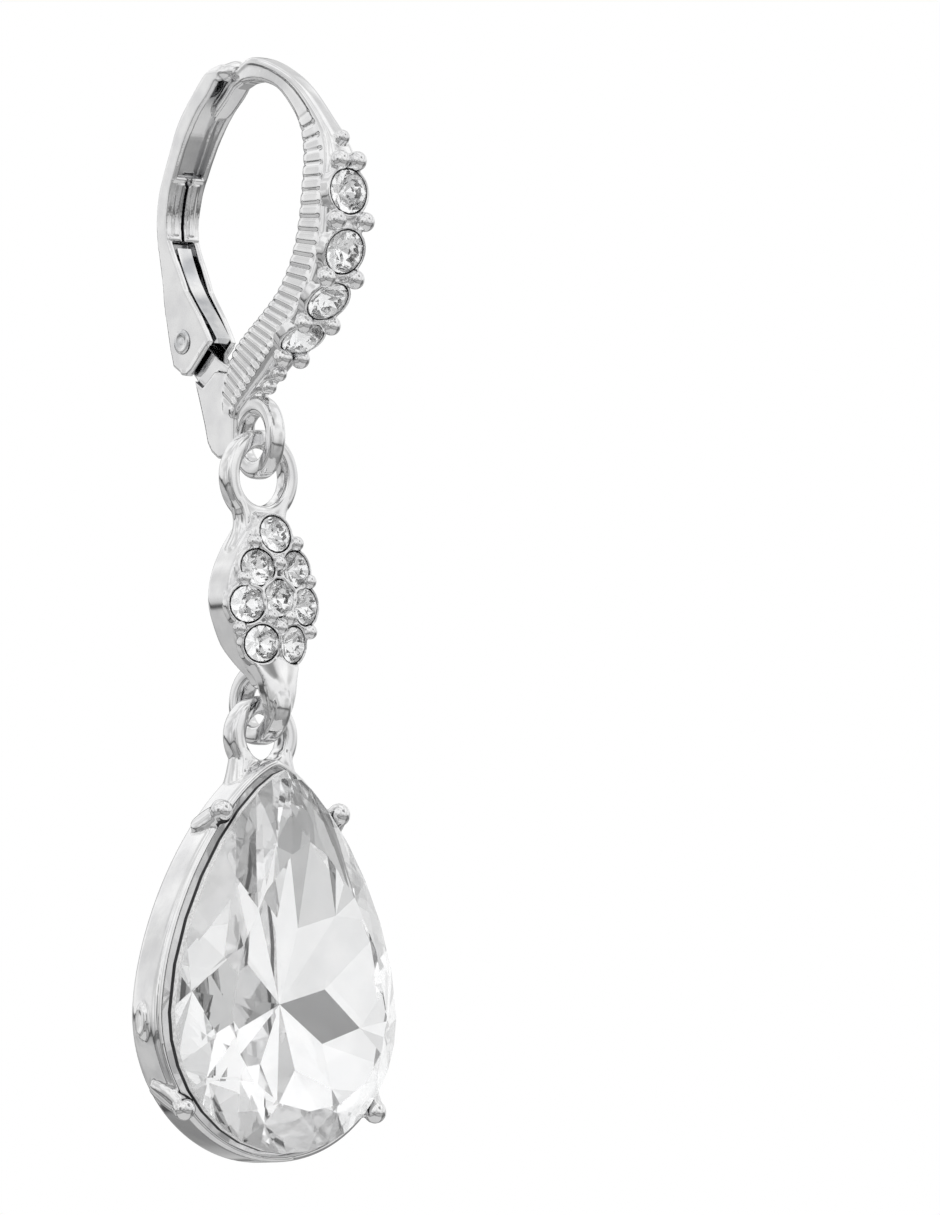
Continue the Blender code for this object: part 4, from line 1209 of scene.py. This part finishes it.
def boss_shell(side):
    """A small side boss with a dimple."""
    x, z = pear(CUP_CLEARANCE + CUP_WALL, BOSS_QUARTER)
    centre = Vector((side * (x - BOSS_SINK), BOSS_Y, PEAR_CENTRE_Z + z))
    wide, tall = Y_AXIS * BOSS_HALF[0], Z_AXIS * BOSS_HALF[1]
    return rings_shell([oval(centre + X_AXIS * side * reach * MM, wide * size, tall * size, 32)
                        for reach, size in BOSS_FORM])


def cup_web(side):
    """A web that flows from the loop's foot down along the cup's wall."""
    start, spread, rise, fall = CUP_WEB

    def path(t):
        middle = Vector((side * (start + spread * t ** 1.5) * MM, PLATE_FOOT_Y - 0.15 * t * MM,
                         PEAR_TIP_Z + (rise - fall * t) * MM))
        size = (CUP_WEB_SIZE[0] - CUP_WEB_SIZE[1] * t) * MM
        return middle, size, (1.25 + 1.1 * t) * size

    return web_shell(path)


def build_setting(metal):
    """The cup in one casting."""
    shells = [rings_shell(cup_rings()), loop_shell(Vector((0, PLATE_FOOT_Y, DROP_LOOP_Z)), X_AXIS, DROP_LOOP)]
    for head, foot in PRONGS:
        shells += build_lug(head, foot, -1) + build_lug(head, foot, 1)
    shells += [boss_shell(-1), boss_shell(1), cup_web(-1), cup_web(1)]
    cup = fused(mesh_object("drop_cup", *shells), *CUP_SKIN)
    finished(cup, "drop", ["drop_setting"], [metal])


def build_crystal(glass, foils):
    def point(level, share):
        scale, depth = PEAR_LEVELS[level]
        twist = PEAR_TWIST if "main" in level else 0.0
        place = pear_point(0.0, share + twist, GIRDLE_Y + depth * MM, scale)
        return place + Z_AXIS * PEAR_CULET_RISE * (level == "culet")

    def tones(row, k):
        return {"main": PEAR_MAIN_REFLECTIONS, "half": PEAR_HALF_REFLECTIONS, "rim": PEAR_RIM_REFLECTIONS}[row][k]

    obj = cut_stone("pear_crystal_cut", 16, 8, tones, point)
    finished(obj, "drop", ["pear_crystal"], [glass, *foils], smooth=False)


def mirrored_studio(tree, where, height):
    """What the metal mirrors: a gradient with a dark line, cards, and faint patches."""
    light = ramp(tree, height, METAL_SKY)
    for direction, start, full, tone in CARDS:
        facing = node(tree, "ShaderNodeVectorMath", [(1, Vector(direction).normalized())], [(0, where)],
                      operation="DOT_PRODUCT").outputs["Value"]
        share = ranged(tree, facing, [("From Min", start), ("From Max", full)], interpolation_type="SMOOTHSTEP")
        light = node(tree, "ShaderNodeMix", [("B", linear(tone))], [("Factor", share), ("A", light)],
                     data_type="RGBA").outputs[2]
    patches = ramp(tree, noise(tree, where, 2.6, 1.0), [(0.40, "#D8D8D8"), (0.56, "#FFFFFF")])
    return node(tree, "ShaderNodeMix", [("Factor", 1.0)], [("A", light), ("B", patches)],
                data_type="RGBA", blend_type="MULTIPLY").outputs[2]


def backdrop(tree, strength, colour):
    """A background light from a colour's output."""
    made = node(tree, "ShaderNodeBackground", [("Strength", strength)], [("Color", colour)])
    return made.outputs["Background"]


def by_ray(tree, kind, other, own):
    """A light of their own for one kind of rays, and another for the rest."""
    ray = node(tree, "ShaderNodeLightPath").outputs[kind]
    return node(tree, "ShaderNodeMixShader", links=[(0, ray), (1, other), (2, own)]).outputs["Shader"]


def build_world():
    """A white studio: plain white in view, soft light through the glass, and a darker studio in the metal."""
    world = bpy.data.worlds.new("white_studio")
    bpy.context.scene.world = world
    world.use_nodes = True
    tree = world.node_tree
    tree.nodes.clear()
    where = node(tree, "ShaderNodeTexCoord").outputs["Generated"]
    parts = node(tree, "ShaderNodeSeparateXYZ", links=[("Vector", where)])
    height = ranged(tree, parts.outputs["Z"], [("From Min", -1.0), ("From Max", 1.0)])
    metal_light = backdrop(tree, METAL_STRENGTH, mirrored_studio(tree, where, height))
    glass_light = backdrop(tree, GLASS_STRENGTH, ramp(tree, height, GLASS_SKY))
    white = node(tree, "ShaderNodeBackground", [("Color", (1, 1, 1, 1))]).outputs["Background"]
    through = by_ray(tree, "Is Transmission Ray", metal_light, glass_light)
    light = by_ray(tree, "Is Camera Ray", through, white)
    node(tree, "ShaderNodeOutputWorld", links=[("Surface", light)])


def build_floor():
    """A sheet of background paper far below the earring."""
    bm = bmesh.new()
    place = Matrix.Translation((0, 0, FLOOR_Z))
    bmesh.ops.create_grid(bm, x_segments=1, y_segments=1, size=FLOOR_HALF, matrix=place)
    floor = placed("floor", bm)
    floor.data.materials.append(studio_paper())


def add_camera():
    a, e = math.radians(CAMERA_AZIMUTH), math.radians(CAMERA_ELEVATION)
    back = Vector((math.sin(a) * math.cos(e), -math.cos(a) * math.cos(e), math.sin(e)))
    right = Vector((math.cos(a), math.sin(a), 0))
    data = bpy.data.cameras.new("camera")
    data.lens = CAMERA_LENS
    data.sensor_width = SENSOR
    data.clip_start = 0.01
    data.clip_end = 10
    camera = bpy.data.objects.new("camera", data)
    bpy.context.scene.collection.objects.link(camera)
    camera.rotation_mode = "QUATERNION"
    camera.rotation_quaternion = (-back).to_track_quat("-Z", "Y")
    camera.location = right * LOOK_RIGHT - back.cross(right) * LOOK_DOWN + back * CAMERA_DISTANCE
    bpy.context.scene.camera = camera


def main():
    build_world()
    build_floor()
    add_camera()
    bpy.context.scene.view_settings.view_transform = "Standard"
    build_hook(plated_metal("hook_rhodium_plate"))
    build_lever(plated_metal("lever_rhodium_plate", reach=1.1, open_at=0.7))
    build_tongue(plated_metal("spring_rhodium_plate", dull="#C8CACD"))
    build_pin(plated_metal("rivet_rhodium_plate", dull="#C8CACD", polish=0.15))
    # The darker recess colours of the link and the cup are painted shade in their crevices.
    build_link(plated_metal("link_rhodium_plate", painted_recess_shade="#3E4043", reach=0.45, open_at=0.7))
    build_setting(plated_metal("cup_rhodium_plate", painted_recess_shade="#2E3033", reach=0.5))
    glass, foils = crown_glass("stone_crystal_glass"), foil_set("stone_silver_foil", mirror=0.9, glow=0.12)
    for k, name in enumerate(HOOK_STONES, 1):
        build_round_stone(name, "hook", HOOK_STONE_TURN * k, glass, foils)
    for k, name in enumerate(LINK_STONES, 1):
        build_round_stone(name, "link", LINK_STONE_TURN * k, glass, foils)
    build_crystal(crown_glass("pear_crystal_glass_body"), foil_set("pear_silver_foil", mirror=0.8, glow=0.32))


main()
